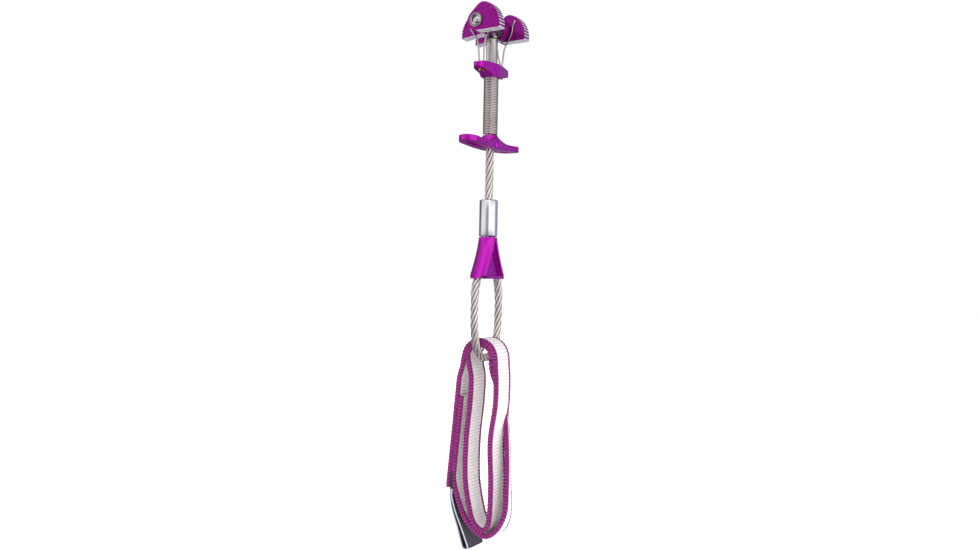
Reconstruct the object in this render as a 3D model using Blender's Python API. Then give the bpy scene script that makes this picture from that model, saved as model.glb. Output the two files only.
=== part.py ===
"""Spring loaded camming device: four lobes on an axle, a cable stem with a thumb loop, a trigger and a doubled sling.

Metres, +Z up along the stem. The origin is the middle of the axle. X runs along the axle and the trigger bar.
The outer lobes open towards -Y and the inner lobes towards +Y.
"""

from math import atan2, cos, exp, hypot, pi, radians, sin, sqrt

import bmesh
import bpy
from mathutils import Matrix, Vector

MM = 0.001

# Lobes. Angles are in degrees above the horizontal, on the side of the tip.
OUTER_X = (8.6 * MM, 12.9 * MM)
INNER_X = (3.4 * MM, 7.6 * MM)
HUB_RADIUS = 4.4 * MM
OUTER_LOBE = {
    "tip": 11.85 * MM,
    "tip_angle": -21.0,
    "rise": 0.252,
    "knee": 30.0,
    "upper_rise": 0.252,
    "top": 66.0,
    "back": 132.4,
}
INNER_LOBE = {
    "tip": 11.85 * MM,
    "tip_angle": -27.5,
    "rise": 0.44,
    "knee": 16.5,
    "upper_rise": 0.25,
    "top": 60.0,
    "back": 130.0,
}
TOOTH_PITCH = 1.25 * MM
TOOTH_DEPTH = 0.32 * MM
TOOTHED_TO = 44.0
WIRE_HOLE_RADIUS = 0.5 * MM
OUTER_HOLE = (7.8 * MM, 36.0)
INNER_HOLE = (6.6 * MM, 25.0)

# Axle, washers and springs
AXLE_RADIUS = 2.38 * MM
AXLE_HALF = 13.8 * MM
BORE_RADIUS = 2.46 * MM
WASHER_RADIUS = 2.95 * MM
END_WASHER_X = (13.05 * MM, 13.5 * MM)
SPACER_X = (2.92 * MM, 3.28 * MM)
SPRING_RADIUS = 3.2 * MM
SPRING_WIRE = 0.32 * MM
SPRING_X = (6.35 * MM, 9.85 * MM)
SPRING_TURNS = 4.5
SPRING_START = 200.0
POCKET_RADIUS = 3.75 * MM
POCKET_DEPTH = 2.0 * MM
LEG_LENGTH = 1.5 * MM
LEG_HOLE = 0.5 * MM

# Stem and thumb loop
EYE_HALF = 2.8 * MM
EYE_RADIUS = 3.9 * MM
HEX_RADIUS = 2.66 * MM
SHANK_END = -20.5 * MM
CABLE_RADIUS = 1.75 * MM
CHANNEL_RADIUS = 1.84 * MM
CABLE_TOP = -10.3 * MM
FERRULE_Z = (-73.3 * MM, -88.9 * MM)
FERRULE_RADIUS = 3.9 * MM
LEG_SPREAD = 1.85 * MM
TAIL_END = -81.0 * MM
SPREADER_Z = (-89.2 * MM, -106.8 * MM)
SPREADER_SPREAD = 7.2 * MM
SPREADER_RADIUS = 3.9 * MM
SPREADER_FLARE = 1.35
LEG_EXIT = 8.05 * MM
LOOP_HALF = 9.8 * MM
LOOP_WIDEST = -118.0 * MM
LOOP_BOTTOM = -140.3 * MM
LOOP_SQUARENESS = 2.85

# Trigger
WIRE_RADIUS = 0.34 * MM
WIRE_X = 8.1 * MM
LEG_REACH = 4.3 * MM
OUTER_FOOT = (7.3 * MM, -0.4 * MM)
INNER_FOOT = (9.2 * MM, 0.2 * MM)
FOOT_TOP = -17.2 * MM
NIPPLE_Z = (-18.4 * MM, -19.9 * MM)
NIPPLE_RADIUS = 0.6 * MM
COLLAR_BORE = 2.95 * MM
COLLAR_END = 9.9 * MM
SLOT_HALF = 1.45 * MM
SHEATH_Z = (-21.6 * MM, -45.7 * MM)
SHEATH_RADII = (2.0 * MM, 3.15 * MM)
BAR_HALF = 20.8 * MM
BAR_Z = -50.5 * MM
BAR_SWEEP = 0.9 * MM
RIM_RADIUS = 1.15 * MM
RIM_Y = 3.05 * MM

# Sling
WEBBING_WIDTH = 12.0 * MM
WEBBING_THICKNESS = 1.6 * MM
LABEL_WIDTH = 12.6 * MM
LABEL_THICKNESS = 0.5 * MM


def clear_scene():
    for obj in list(bpy.data.objects):
        bpy.data.objects.remove(obj, do_unlink=True)


def new_collection(name, hidden=False):
    made = bpy.data.collections.new(name)
    bpy.context.scene.collection.children.link(made)
    made.hide_render = hidden
    return made


def new_material(name, colour, roughness, metallic):
    made = bpy.data.materials.new(name)
    made.use_nodes = True
    shader = made.node_tree.nodes["Principled BSDF"]
    shader.inputs["Base Color"].default_value = (*colour, 1.0)
    shader.inputs["Roughness"].default_value = roughness
    shader.inputs["Metallic"].default_value = metallic
    made.diffuse_color = (*colour, 1.0)
    return made


clear_scene()
PARTS = new_collection("camming_device")
CUTTERS = new_collection("cutters", hidden=True)
FINISHES = {
    "purple_anodised": new_material("purple_anodised", (0.27, 0.01, 0.23), 0.32, 1.0),
    "steel": new_material("steel", (0.62, 0.60, 0.57), 0.3, 1.0),
    "dark_steel": new_material("dark_steel", (0.40, 0.37, 0.35), 0.35, 1.0),
    "aluminium": new_material("aluminium", (0.78, 0.78, 0.80), 0.28, 1.0),
    "brass": new_material("brass", (0.72, 0.50, 0.20), 0.35, 1.0),
    "purple_webbing": new_material("purple_webbing", (0.30, 0.03, 0.25), 0.9, 0.0),
    "black_label": new_material("black_label", (0.04, 0.035, 0.045), 0.8, 0.0),
}


def place(name, mesh, finish, origin=(0.0, 0.0, 0.0)):
    """Puts a mesh given in world coordinates into the scene, with its origin at a joint."""
    mesh.transform(Matrix.Translation(-Vector(origin)))
    mesh.name = name
    mesh.materials.clear()
    mesh.materials.append(FINISHES[finish])
    mesh.shade_smooth()
    mesh.set_sharp_from_angle(angle=radians(35))
    obj = bpy.data.objects.new(name, mesh)
    obj.location = origin
    PARTS.objects.link(obj)
    return obj


def hide_cutter(name, mesh):
    obj = bpy.data.objects.new(name, mesh)
    obj.display_type = "WIRE"
    obj.hide_render = True
    CUTTERS.objects.link(obj)
    return obj


def boolean(obj, operation, name, mesh):
    """Adds one Boolean with a hidden tool made from a mesh in world coordinates."""
    tool = hide_cutter(name, mesh)
    modifier = obj.modifiers.new(name, "BOOLEAN")
    modifier.operation = operation
    modifier.solver = "EXACT"
    modifier.object = tool


def finished_mesh(bm):
    bmesh.ops.remove_doubles(bm, verts=bm.verts, dist=1e-7)
    bmesh.ops.recalc_face_normals(bm, faces=bm.faces)
    mesh = bpy.data.meshes.new("piece")
    bm.to_mesh(mesh)
    bm.free()
    return mesh


def cylinder(radius, start, end, segments=32, end_radius=None, turn=0.0):
    """A cylinder or a cone between two points."""
    start = Vector(start)
    end = Vector(end)
    along = end - start
    spin = along.to_track_quat("Z", "Y").to_matrix().to_4x4()
    where = Matrix.Translation((start + end) / 2) @ spin @ Matrix.Rotation(turn, 4, "Z")
    bm = bmesh.new()
    far = radius if end_radius is None else end_radius
    bmesh.ops.create_cone(
        bm, cap_ends=True, segments=segments, radius1=radius, radius2=far, depth=along.length, matrix=where
    )
    return finished_mesh(bm)


def tube_along_x(bore, radius, start, end, segments=40):
    """A ring round the X axis."""
    profile = ((bore, start), (radius, start), (radius, end), (bore, end))
    mesh = turned(profile, segments)
    mesh.transform(Matrix.Rotation(radians(90), 4, "Y"))
    return mesh


def box(low, high):
    bm = bmesh.new()
    size = Vector(high) - Vector(low)
    where = Matrix.Translation((Vector(high) + Vector(low)) / 2) @ Matrix.Diagonal((*size, 1.0))
    bmesh.ops.create_cube(bm, size=1.0, matrix=where)
    return finished_mesh(bm)


def turned(profile, segments=40):
    """The closed profile of (radius, height) points, turned about the Z axis."""
    bm = bmesh.new()
    corners = [bm.verts.new((radius, 0.0, height)) for radius, height in profile]
    edges = [bm.edges.new((a, b)) for a, b in zip(corners, corners[1:] + corners[:1])]
    bmesh.ops.spin(
        bm, geom=corners + edges, cent=(0, 0, 0), axis=(0, 0, 1), angle=2 * pi, steps=segments, use_merge=True
    )
    return finished_mesh(bm)


def mesh_from_curve(curve):
    """The evaluated mesh of a curve, welded at its caps."""
    holder = bpy.data.objects.new("curve", curve)
    CUTTERS.objects.link(holder)
    bpy.context.view_layer.update()
    evaluated = holder.evaluated_get(bpy.context.evaluated_depsgraph_get())
    mesh = bpy.data.meshes.new_from_object(evaluated)
    bpy.data.objects.remove(holder, do_unlink=True)
    bm = bmesh.new()
    bm.from_mesh(mesh)
    return finished_mesh(bm)


def rod(points, radius):
    """A round wire through the points."""
    curve = bpy.data.curves.new("rod", "CURVE")
    curve.dimensions = "3D"
    curve.bevel_depth = radius
    curve.bevel_resolution = 2
    curve.use_fill_caps = True
    spline = curve.splines.new("POLY")
    spline.points.add(len(points) - 1)
    for point, where in zip(spline.points, points):
        point.co = (*where, 1.0)
    return mesh_from_curve(curve)


def plate(outlines, low, high, plane):
    """A plate with flat outlines: the first is its edge and the others are holes. plane is YZ, XZ or XY."""
    curve = bpy.data.curves.new("plate", "CURVE")
    curve.dimensions = "2D"
    curve.fill_mode = "BOTH"
    curve.extrude = (high - low) / 2
    for outline in outlines:
        spline = curve.splines.new("POLY")
        spline.points.add(len(outline) - 1)
        for point, (a, b) in zip(spline.points, outline):
            point.co = (a, b, 0.0, 1.0)
        spline.use_cyclic_u = True
    mesh = mesh_from_curve(curve)
    mesh.transform(Matrix.Translation((0, 0, (high + low) / 2)))
    turns = {
        "XY": Matrix.Identity(4),
        "YZ": Matrix(((0, 0, 1, 0), (1, 0, 0, 0), (0, 1, 0, 0), (0, 0, 0, 1))),
        "XZ": Matrix(((1, 0, 0, 0), (0, 0, -1, 0), (0, 1, 0, 0), (0, 0, 0, 1))),
    }
    mesh.transform(turns[plane])
    return mesh


def circle(radius, centre=(0.0, 0.0), segments=32, start=0.0, end=360.0):
    """Points round a circle, or an arc of it when it isn't closed."""
    closed = abs(end - start) >= 360.0
    count = segments if closed else segments + 1
    angles = [radians(start + (end - start) * i / segments) for i in range(count)]
    return [(centre[0] + radius * cos(a), centre[1] + radius * sin(a)) for a in angles]


def smooth(points, steps=6):
    """A Catmull-Rom line through the points."""
    known = [Vector(point) for point in points]
    padded = [2 * known[0] - known[1], *known, 2 * known[-1] - known[-2]]
    line = []
    for a, b, c, d in zip(padded, padded[1:], padded[2:], padded[3:]):
        for i in range(steps):
            t = i / steps
            line.append(
                0.5 * (2 * b + (c - a) * t + (2 * a - 5 * b + 4 * c - d) * t**2 + (3 * b - a - 3 * c + d) * t**3)
            )
    line.append(known[-1])
    return [tuple(point) for point in line]


def offset(path, distance):
    """The open path moved sideways."""
    moved = []
    for i, (a, b) in enumerate(path):
        before = path[max(i - 1, 0)]
        after = path[min(i + 1, len(path) - 1)]
        run = hypot(after[0] - before[0], after[1] - before[1])
        moved.append((a - distance * (after[1] - before[1]) / run, b + distance * (after[0] - before[0]) / run))
    return moved


def band(path, thickness):
    """The closed outline of a strip of tape that follows the path."""
    return offset(path, thickness / 2) + offset(path, -thickness / 2)[::-1]


def polar(radius, angle):
    return radius * cos(angle), radius * sin(angle)


def lobe_radius(lobe, angle):
    """The spiral, which falls away evenly from the tip and changes its rise at the knee."""
    tip = radians(lobe["tip_angle"])
    knee = radians(lobe["knee"])
    lower = lobe["rise"] * (min(angle, knee) - tip)
    upper = lobe["upper_rise"] * max(angle - knee, 0.0)
    return lobe["tip"] * exp(-lower - upper)


def toothed_edge(lobe):
    """The gripping edge: flat crests with V grooves between them."""
    start = radians(lobe["tip_angle"])
    end = radians(TOOTHED_TO)
    mean = lobe_radius(lobe, (start + end) / 2)
    count = round((end - start) * mean / TOOTH_PITCH)
    step = (end - start) / count
    points = []
    for i in range(count):
        angle = start + i * step
        points.append(polar(lobe_radius(lobe, angle), angle))
        points.append(polar(lobe_radius(lobe, angle + 0.42 * step), angle + 0.42 * step))
        points.append(polar(lobe_radius(lobe, angle + 0.7 * step) - TOOTH_DEPTH, angle + 0.7 * step))
    return points


def lobe_outline(lobe, side):
    """The (Y, Z) edge of a lobe: toothed spiral, rounded top, straight back, hub and flat underside."""
    points = toothed_edge(lobe)
    first = radians(TOOTHED_TO)
    last = radians(lobe["top"])
    for i in range(5):
        angle = first + (last - first) * i / 4
        points.append(polar(lobe_radius(lobe, angle), angle))
    back = radians(lobe["back"])
    foot = polar(HUB_RADIUS, back)
    along = (sin(back), -cos(back))
    reach = 0.0
    corner = foot
    while hypot(*corner) < lobe_radius(lobe, atan2(corner[1], corner[0])):
        reach += 0.02 * MM
        corner = (foot[0] + along[0] * reach, foot[1] + along[1] * reach)
    leave = (corner[0] - along[0] * 2.3 * MM, corner[1] - along[1] * 2.3 * MM)
    start = points[-1]
    for i in range(1, 7):
        t = i / 6
        weights = ((1 - t) ** 2, 2 * t * (1 - t), t**2)
        points.append(tuple(sum(w * p[k] for w, p in zip(weights, (start, corner, leave))) for k in (0, 1)))
    tip_angle = radians(lobe["tip_angle"])
    under = 2 * pi + tip_angle - arc_cosine(HUB_RADIUS / lobe["tip"])
    for i in range(13):
        angle = back + (under - back) * i / 12
        points.append(polar(HUB_RADIUS, angle))
    return [(side * y, z) for y, z in points]


def arc_cosine(value):
    return atan2(sqrt(1 - value * value), value)


def hole_centre(hole, side):
    """(Y, Z) of the hole that takes the trigger wire."""
    y, z = polar(hole[0], radians(hole[1]))
    return side * y, z


def make_lobe(name, lobe, hole, x_range, end, side):
    """A lobe on the left or right end of the axle, with its pocket facing its neighbour across the gap."""
    low, high = sorted((end * x_range[0], end * x_range[1]))
    outlines = [lobe_outline(lobe, side), circle(BORE_RADIUS), circle(WIRE_HOLE_RADIUS, hole_centre(hole, side), 16)]
    obj = place(name, plate(outlines, low, high, "YZ"), "purple_anodised")
    inner = x_range is INNER_X
    face = x_range[1] if inner else x_range[0]
    inwards = -1 if inner else 1
    floor = face + inwards * POCKET_DEPTH
    mouth = face - inwards * 0.5 * MM
    pocket = cylinder(POCKET_RADIUS, (end * floor, 0, 0), (end * mouth, 0, 0), 40)
    boolean(obj, "DIFFERENCE", name + "_pocket", pocket)
    angle = radians(SPRING_START if inner else SPRING_START + 360 * SPRING_TURNS)
    y, z = polar(SPRING_RADIUS, angle)
    deep = floor + inwards * LEG_LENGTH
    leg = cylinder(LEG_HOLE, (end * (floor - inwards * 0.4 * MM), y, z), (end * deep, y, z), 12)
    boolean(obj, "DIFFERENCE", name + "_spring_hole", leg)
    return obj


def make_spring(name, end):
    """A coil with a straight leg at each end, one into each lobe."""
    steps = round(16 * SPRING_TURNS)
    coil = []
    for i in range(steps + 1):
        angle = radians(SPRING_START + 360 * SPRING_TURNS * i / steps)
        x = SPRING_X[0] + (SPRING_X[1] - SPRING_X[0]) * i / steps
        coil.append((end * x, *polar(SPRING_RADIUS, angle)))
    floor_inner = INNER_X[1] - POCKET_DEPTH
    floor_outer = OUTER_X[0] + POCKET_DEPTH
    first = (end * (floor_inner - LEG_LENGTH + 0.4 * MM), *coil[0][1:])
    last = (end * (floor_outer + LEG_LENGTH - 0.4 * MM), *coil[-1][1:])
    place(name, rod([first, *coil, last], SPRING_WIRE), "steel")


def make_head():
    for end, side_name in ((-1, "left"), (1, "right")):
        make_lobe("cam_lobe_outer_" + side_name, OUTER_LOBE, OUTER_HOLE, OUTER_X, end, -1)
        make_lobe("cam_lobe_inner_" + side_name, INNER_LOBE, INNER_HOLE, INNER_X, end, 1)
        make_spring("cam_spring_" + side_name, end)
        washer = tube_along_x(BORE_RADIUS, WASHER_RADIUS, *sorted(end * x for x in END_WASHER_X))
        place("axle_washer_" + side_name, washer, "steel")
        spacer = tube_along_x(BORE_RADIUS, WASHER_RADIUS, *sorted(end * x for x in SPACER_X))
        place("spacer_washer_" + side_name, spacer, "steel")
    chamfer = 0.3 * MM
    profile = (
        (0.0, -AXLE_HALF),
        (AXLE_RADIUS - chamfer, -AXLE_HALF),
        (AXLE_RADIUS, -AXLE_HALF + chamfer),
        (AXLE_RADIUS, AXLE_HALF - chamfer),
        (AXLE_RADIUS - chamfer, AXLE_HALF),
        (0.0, AXLE_HALF),
    )
    axle = turned(profile)
    axle.transform(Matrix.Rotation(radians(90), 4, "Y"))
    place("axle", axle, "steel")


def make_terminal():
    """Eye, shoulder and hexagonal shank with a socket for the stem cable."""
    shoulder = (
        (0.0, -2.2 * MM),
        (2.3 * MM, -2.2 * MM),
        (2.75 * MM, -3.9 * MM),
        (2.95 * MM, -4.2 * MM),
        (2.95 * MM, -4.9 * MM),
        (2.2 * MM, -5.3 * MM),
        (0.0, -5.3 * MM),
    )
    obj = place("stem_terminal", turned(shoulder), "steel")
    boolean(obj, "UNION", "terminal_eye", cylinder(EYE_RADIUS, (-EYE_HALF, 0, 0), (EYE_HALF, 0, 0), 48))
    shank = cylinder(HEX_RADIUS, (0, 0, -4.6 * MM), (0, 0, SHANK_END), 6, turn=radians(8))
    boolean(obj, "UNION", "terminal_shank", shank)
    boolean(obj, "DIFFERENCE", "terminal_bore", cylinder(BORE_RADIUS, (-4 * MM, 0, 0), (4 * MM, 0, 0), 32))
    socket = cylinder(1.9 * MM, (0, 0, CABLE_TOP + 0.4 * MM), (0, 0, SHANK_END - MM), 32)
    boolean(obj, "DIFFERENCE", "terminal_socket", socket)


def spreader_offset(height):
    """How far the rounded edge of the spreader stands from the middle at this height."""
    share = (SPREADER_Z[0] - height) / (SPREADER_Z[0] - SPREADER_Z[1])
    return SPREADER_SPREAD * max(share, 0.0) ** SPREADER_FLARE


def leg_offset(height):
    """The distance of the cable from the middle, inside the spreader."""
    return LEG_SPREAD + (LEG_EXIT - LEG_SPREAD) * spreader_offset(height) / SPREADER_SPREAD


def loop_leg():
    """(X, Z) points of one leg of the thumb loop, from the top of the spreader to the bottom of the loop."""
    top, bottom = SPREADER_Z
    leg = []
    for i in range(9):
        height = top + (bottom - top) * i / 8
        leg.append((leg_offset(height), height))
    start = leg[-1]
    slope = (leg[-1][0] - leg[-2][0]) / (leg[-2][1] - leg[-1][1])
    drop = bottom - LOOP_WIDEST
    for i in range(1, 8):
        t = i / 7
        curve = (2 * t**3 - 3 * t**2 + 1, t**3 - 2 * t**2 + t, 3 * t**2 - 2 * t**3)
        x = curve[0] * start[0] + curve[1] * slope * drop + curve[2] * LOOP_HALF
        leg.append((x, start[1] - drop * t))
    for i in range(1, 15):
        angle = pi / 2 * i / 14
        x = LOOP_HALF * max(cos(angle), 0.0) ** (2 / LOOP_SQUARENESS)
        rise = sin(angle) ** (2 / LOOP_SQUARENESS)
        leg.append((x if i < 14 else 0.0, LOOP_WIDEST - (LOOP_WIDEST - LOOP_BOTTOM) * rise))
    return leg


def cable_path():
    """The stem, the bend in the ferrule, the thumb loop and the tail."""
    points = [(0.0, CABLE_TOP), (0.0, FERRULE_Z[0] - 0.6 * MM)]
    bend_start = FERRULE_Z[0] - 0.6 * MM
    for i in range(1, 9):
        t = i / 8
        points.append((LEG_SPREAD * (3 * t**2 - 2 * t**3), bend_start - 6.0 * MM * t))
    leg = loop_leg()
    points += leg
    points += [(-x, z) for x, z in leg[-2::-1]]
    points.append((-LEG_SPREAD, TAIL_END))
    return [(x, 0.0, z) for x, z in points]


def make_cable():
    path = cable_path()
    place("stem_cable", rod(path, CABLE_RADIUS), "dark_steel")


def cut_channel(obj):
    """Clears the way of the cable through a piece that it passes."""
    path = cable_path()
    first = (0.0, 0.0, path[0][2] + MM)
    last = (path[-1][0], 0.0, path[-1][2] + 0.3 * MM)
    boolean(obj, "DIFFERENCE", obj.name + "_channel", rod([first, *path[1:-1], last], CHANNEL_RADIUS))


def make_ferrule():
    top, bottom = FERRULE_Z
    chamfer = 0.6 * MM
    profile = (
        (0.0, top),
        (FERRULE_RADIUS - chamfer, top),
        (FERRULE_RADIUS, top - chamfer),
        (FERRULE_RADIUS, bottom + chamfer),
        (FERRULE_RADIUS - 0.5 * chamfer, bottom),
        (0.0, bottom),
    )
    obj = place("loop_ferrule", turned(profile), "aluminium")
    cut_channel(obj)


def stadium(spread, radius, height, segments=10):
    """Points of a loop with round ends, at one height."""
    loop = circle(radius, (spread, 0.0), segments, -90.0, 90.0)
    loop += circle(radius, (-spread, 0.0), segments, 90.0, 270.0)
    return [(x, y, height) for x, y in loop]


def loft(rings):
    """Closed skin through rings that have equal counts of points."""
    bm = bmesh.new()
    rows = [[bm.verts.new(point) for point in ring] for ring in rings]
    for lower, upper in zip(rows, rows[1:]):
        count = len(lower)
        for i in range(count):
            j = (i + 1) % count
            bm.faces.new((lower[i], lower[j], upper[j], upper[i]))
    bm.faces.new(rows[0])
    bm.faces.new(rows[-1])
    bmesh.ops.recalc_face_normals(bm, faces=bm.faces)
    mesh = bpy.data.meshes.new("loft")
    bm.to_mesh(mesh)
    bm.free()
    return mesh


def spreader_pocket(side):
    """The triangular recess in one broad face."""
    top = SPREADER_Z[0] - 1.2 * MM
    bottom = SPREADER_Z[1] + 1.3 * MM
    rows = 8
    right = []
    for i in range(rows):
        height = top + (bottom - top) * i / (rows - 1)
        right.append((0.15 * MM + 1.0 * spreader_offset(height), height))
    outline = right + [(-x, z) for x, z in right[::-1]]
    depths = sorted((side * 2.3 * MM, side * 5.0 * MM))
    return plate([outline], -depths[1], -depths[0], "XZ")


def make_spreader():
    top, bottom = SPREADER_Z
    rings = []
    for i in range(9):
        height = top + (bottom - top) * i / 8
        rings.append(stadium(spreader_offset(height) + 0.02 * MM, SPREADER_RADIUS, height))
    obj = place("loop_spreader", loft(rings), "purple_anodised")
    cut_channel(obj)
    for side, side_name in ((-1, "front"), (1, "rear")):
        boolean(obj, "DIFFERENCE", "spreader_pocket_" + side_name, spreader_pocket(side))


def wire_route(outer):
    """(Y, Z) points of a trigger wire in the gap between its two lobes."""
    if outer:
        return ((-5.3, 1.5), (-4.95, -0.8), (-3.75, -3.4), (-2.1, -6.0), (-1.3, -8.6), (-0.9, -13.0))
    return ((6.25, 0.5), (5.7, -1.8), (4.5, -3.6), (3.1, -5.4), (2.1, -7.4), (1.7, -9.8), (0.9, -14.0))


def wire_path(outer, end):
    hole = hole_centre(OUTER_HOLE, -1) if outer else hole_centre(INNER_HOLE, 1)
    foot_x, foot_y = OUTER_FOOT if outer else INNER_FOOT
    reach = LEG_REACH if outer else -LEG_REACH
    corner = 0.35 * MM if outer else -0.35 * MM
    lean = -0.3 * MM
    points = [
        (end * (WIRE_X + reach), *hole),
        (end * (WIRE_X + 2 * corner), *hole),
        (end * (WIRE_X + 0.6 * corner), hole[0], hole[1] + 0.2 * lean),
        (end * (WIRE_X + 0.1 * corner), hole[0], hole[1] + 0.9 * lean),
    ]
    line = [(hole[0], hole[1] + 3 * lean), *((y * MM, z * MM) for y, z in wire_route(outer))]
    for y, z in smooth(line, 3):
        share = min(max((-10.0 * MM - z) / (5.0 * MM), 0.0), 1.0)
        x = WIRE_X + (foot_x - WIRE_X) * share * 0.8
        points.append((end * x, y, z))
    points.append((end * foot_x, foot_y, FOOT_TOP))
    points.append((end * foot_x, foot_y, NIPPLE_Z[1] - 0.35 * MM))
    return points


def make_wires():
    for end, side_name in ((-1, "left"), (1, "right")):
        for outer, row in ((True, "outer"), (False, "inner")):
            hole = hole_centre(OUTER_HOLE, -1) if outer else hole_centre(INNER_HOLE, 1)
            foot = OUTER_FOOT if outer else INNER_FOOT
            pivot = (end * WIRE_X, *hole)
            tag = row + "_" + side_name
            place("trigger_wire_" + tag, rod(wire_path(outer, end), WIRE_RADIUS), "steel", pivot)
            profile = (
                (WIRE_RADIUS + 0.05 * MM, NIPPLE_Z[0]),
                (NIPPLE_RADIUS, NIPPLE_Z[0]),
                (NIPPLE_RADIUS, NIPPLE_Z[1]),
                (WIRE_RADIUS + 0.05 * MM, NIPPLE_Z[1]),
            )
            nipple = turned(profile, 16)
            nipple.transform(Matrix.Translation((end * foot[0], foot[1], 0)))
            place("wire_nipple_" + tag, nipple, "brass", pivot)


def collar_front():
    """The (X, Z) outline of the wire collar."""
    top = ((12.3, -17.0), (9.9, -16.2), (4.0, -15.8))
    bottom = ((3.4, -21.4), (4.6, -20.4), (9.9, -19.8), (12.3, -19.0))
    right = list(top[::-1]) + list(bottom[::-1])
    left = [(-x, z) for x, z in right[::-1]]
    return [(x * MM, z * MM) for x, z in right + left]


def collar_plan():
    """The (X, Y) outline of the wire collar: a round middle that narrows to two round ends."""
    wide = 3.7 * MM
    narrow = 2.3 * MM
    tilt = atan2(wide - narrow, COLLAR_END)
    edge = 90.0 - tilt * 180 / pi
    points = circle(narrow, (COLLAR_END, 0.0), 10, -edge, edge)
    points += circle(wide, (0.0, 0.0), 4, edge, 180.0 - edge)
    points += circle(narrow, (-COLLAR_END, 0.0), 10, 180.0 - edge, 180.0 + edge)
    points += circle(wide, (0.0, 0.0), 4, 180.0 + edge, 360.0 - edge)
    return points


def make_collar():
    obj = place("wire_collar", plate([collar_front()], -6 * MM, 6 * MM, "XZ"), "purple_anodised")
    plan = plate([collar_plan()], -30 * MM, -10 * MM, "XY")
    boolean(obj, "INTERSECT", "collar_plan", plan)
    boolean(obj, "DIFFERENCE", "collar_bore", cylinder(COLLAR_BORE, (0, 0, -10 * MM), (0, 0, -30 * MM), 32))
    for end, side_name in ((-1, "left"), (1, "right")):
        low, high = sorted((end * 6.2 * MM, end * 10.3 * MM))
        pocket = box((low, -1.95 * MM, -25 * MM), (high, 1.95 * MM, -18.1 * MM))
        boolean(obj, "DIFFERENCE", "collar_pocket_" + side_name, pocket)
        for (foot_x, foot_y), row in ((OUTER_FOOT, "outer"), (INNER_FOOT, "inner")):
            x = end * foot_x
            half = 0.5 * MM
            slot = box((x - half, foot_y - SLOT_HALF, -19.0 * MM), (x + half, foot_y + SLOT_HALF, -14 * MM))
            boolean(obj, "DIFFERENCE", "collar_slot_" + row + "_" + side_name, slot)


def make_sheath():
    bore, radius = SHEATH_RADII
    top, bottom = SHEATH_Z
    place("trigger_sheath", turned(((bore, top), (radius, top), (radius, bottom), (bore, bottom))), "dark_steel")


def bar_height(x):
    """The wings sweep up towards their ends."""
    share = max(abs(x) - 6.0 * MM, 0.0) / (BAR_HALF - 6.0 * MM)
    return BAR_Z + BAR_SWEEP * share**1.5


def bar_loop():
    """The middle line of the rim of the trigger bar."""
    end = BAR_HALF - RIM_RADIUS - RIM_Y
    flat = []
    for i in range(9):
        flat.append((end * (2 * i / 8 - 1), RIM_Y))
    flat += circle(RIM_Y, (end, 0.0), 8, 90.0, -90.0)[1:-1]
    flat += [(x, -y) for x, y in flat[8::-1]]
    flat += circle(RIM_Y, (-end, 0.0), 8, 270.0, 90.0)[1:-1]
    return [(x, y, bar_height(x)) for x, y in flat]


def closed_rod(points, radius, segments=8):
    """A ring of round section through points on a closed loop."""
    rows = []
    count = len(points)
    for i, where in enumerate(points):
        before = Vector(points[i - 1])
        after = Vector(points[(i + 1) % count])
        along = (after - before).normalized()
        across = along.cross(Vector((0, 0, 1))).normalized()
        up = across.cross(along)
        ring = []
        for k in range(segments):
            angle = 2 * pi * (k + 0.5) / segments
            ring.append(Vector(where) + radius * (cos(angle) * across + sin(angle) * up))
        rows.append(ring)
    bm = bmesh.new()
    verts = [[bm.verts.new(point) for point in ring] for ring in rows]
    for i in range(count):
        lower, upper = verts[i], verts[(i + 1) % count]
        for k in range(segments):
            j = (k + 1) % segments
            bm.faces.new((lower[k], lower[j], upper[j], upper[k]))
    return finished_mesh(bm)


def make_bar():
    """A finger bar with an open slot in each wing and a tapered hub round the cable."""
    hub = (
        (0.0, -46.0 * MM),
        (3.1 * MM, -46.0 * MM),
        (3.3 * MM, -46.9 * MM),
        (4.0 * MM, -47.7 * MM),
        (4.7 * MM, -48.6 * MM),
        (5.0 * MM, -49.4 * MM),
        (5.0 * MM, -51.5 * MM),
        (4.6 * MM, -51.9 * MM),
        (0.0, -51.9 * MM),
    )
    obj = place("trigger_bar", closed_rod(bar_loop(), RIM_RADIUS), "purple_anodised")
    boolean(obj, "UNION", "bar_hub", turned(hub, 36))
    boolean(obj, "DIFFERENCE", "bar_bore", cylinder(2.0 * MM, (0, 0, -45 * MM), (0, 0, -53 * MM), 32))


def arc_over(radius):
    """The half turn of the sling over the cable, from left to right, without its ends."""
    return circle(radius, (0.0, LOOP_BOTTOM), 8, 0.0, 180.0)[1:-1]


def in_metres(points):
    return [(y * MM, z * MM) for y, z in points]


def inner_turn():
    """The closed inner turn of the webbing, clockwise from the left of the cable."""
    right = in_metres(((-6.2, -142.5), (-7.6, -149.5), (-7.0, -162.0), (-6.0, -174.7), (-6.5, -191.5)))
    right += in_metres(((-6.6, -204.0), (-5.6, -210.3)))
    base = in_metres(((-3.1, -212.4), (1.2, -210.0)))
    left = in_metres(((3.5, -204.0), (5.9, -191.5), (5.7, -174.7), (4.3, -160.0), (4.7, -149.5), (5.5, -142.5)))
    sides = smooth([*right, *base, *left], 3)
    return arc_over(6.28 * MM) + sides


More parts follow.
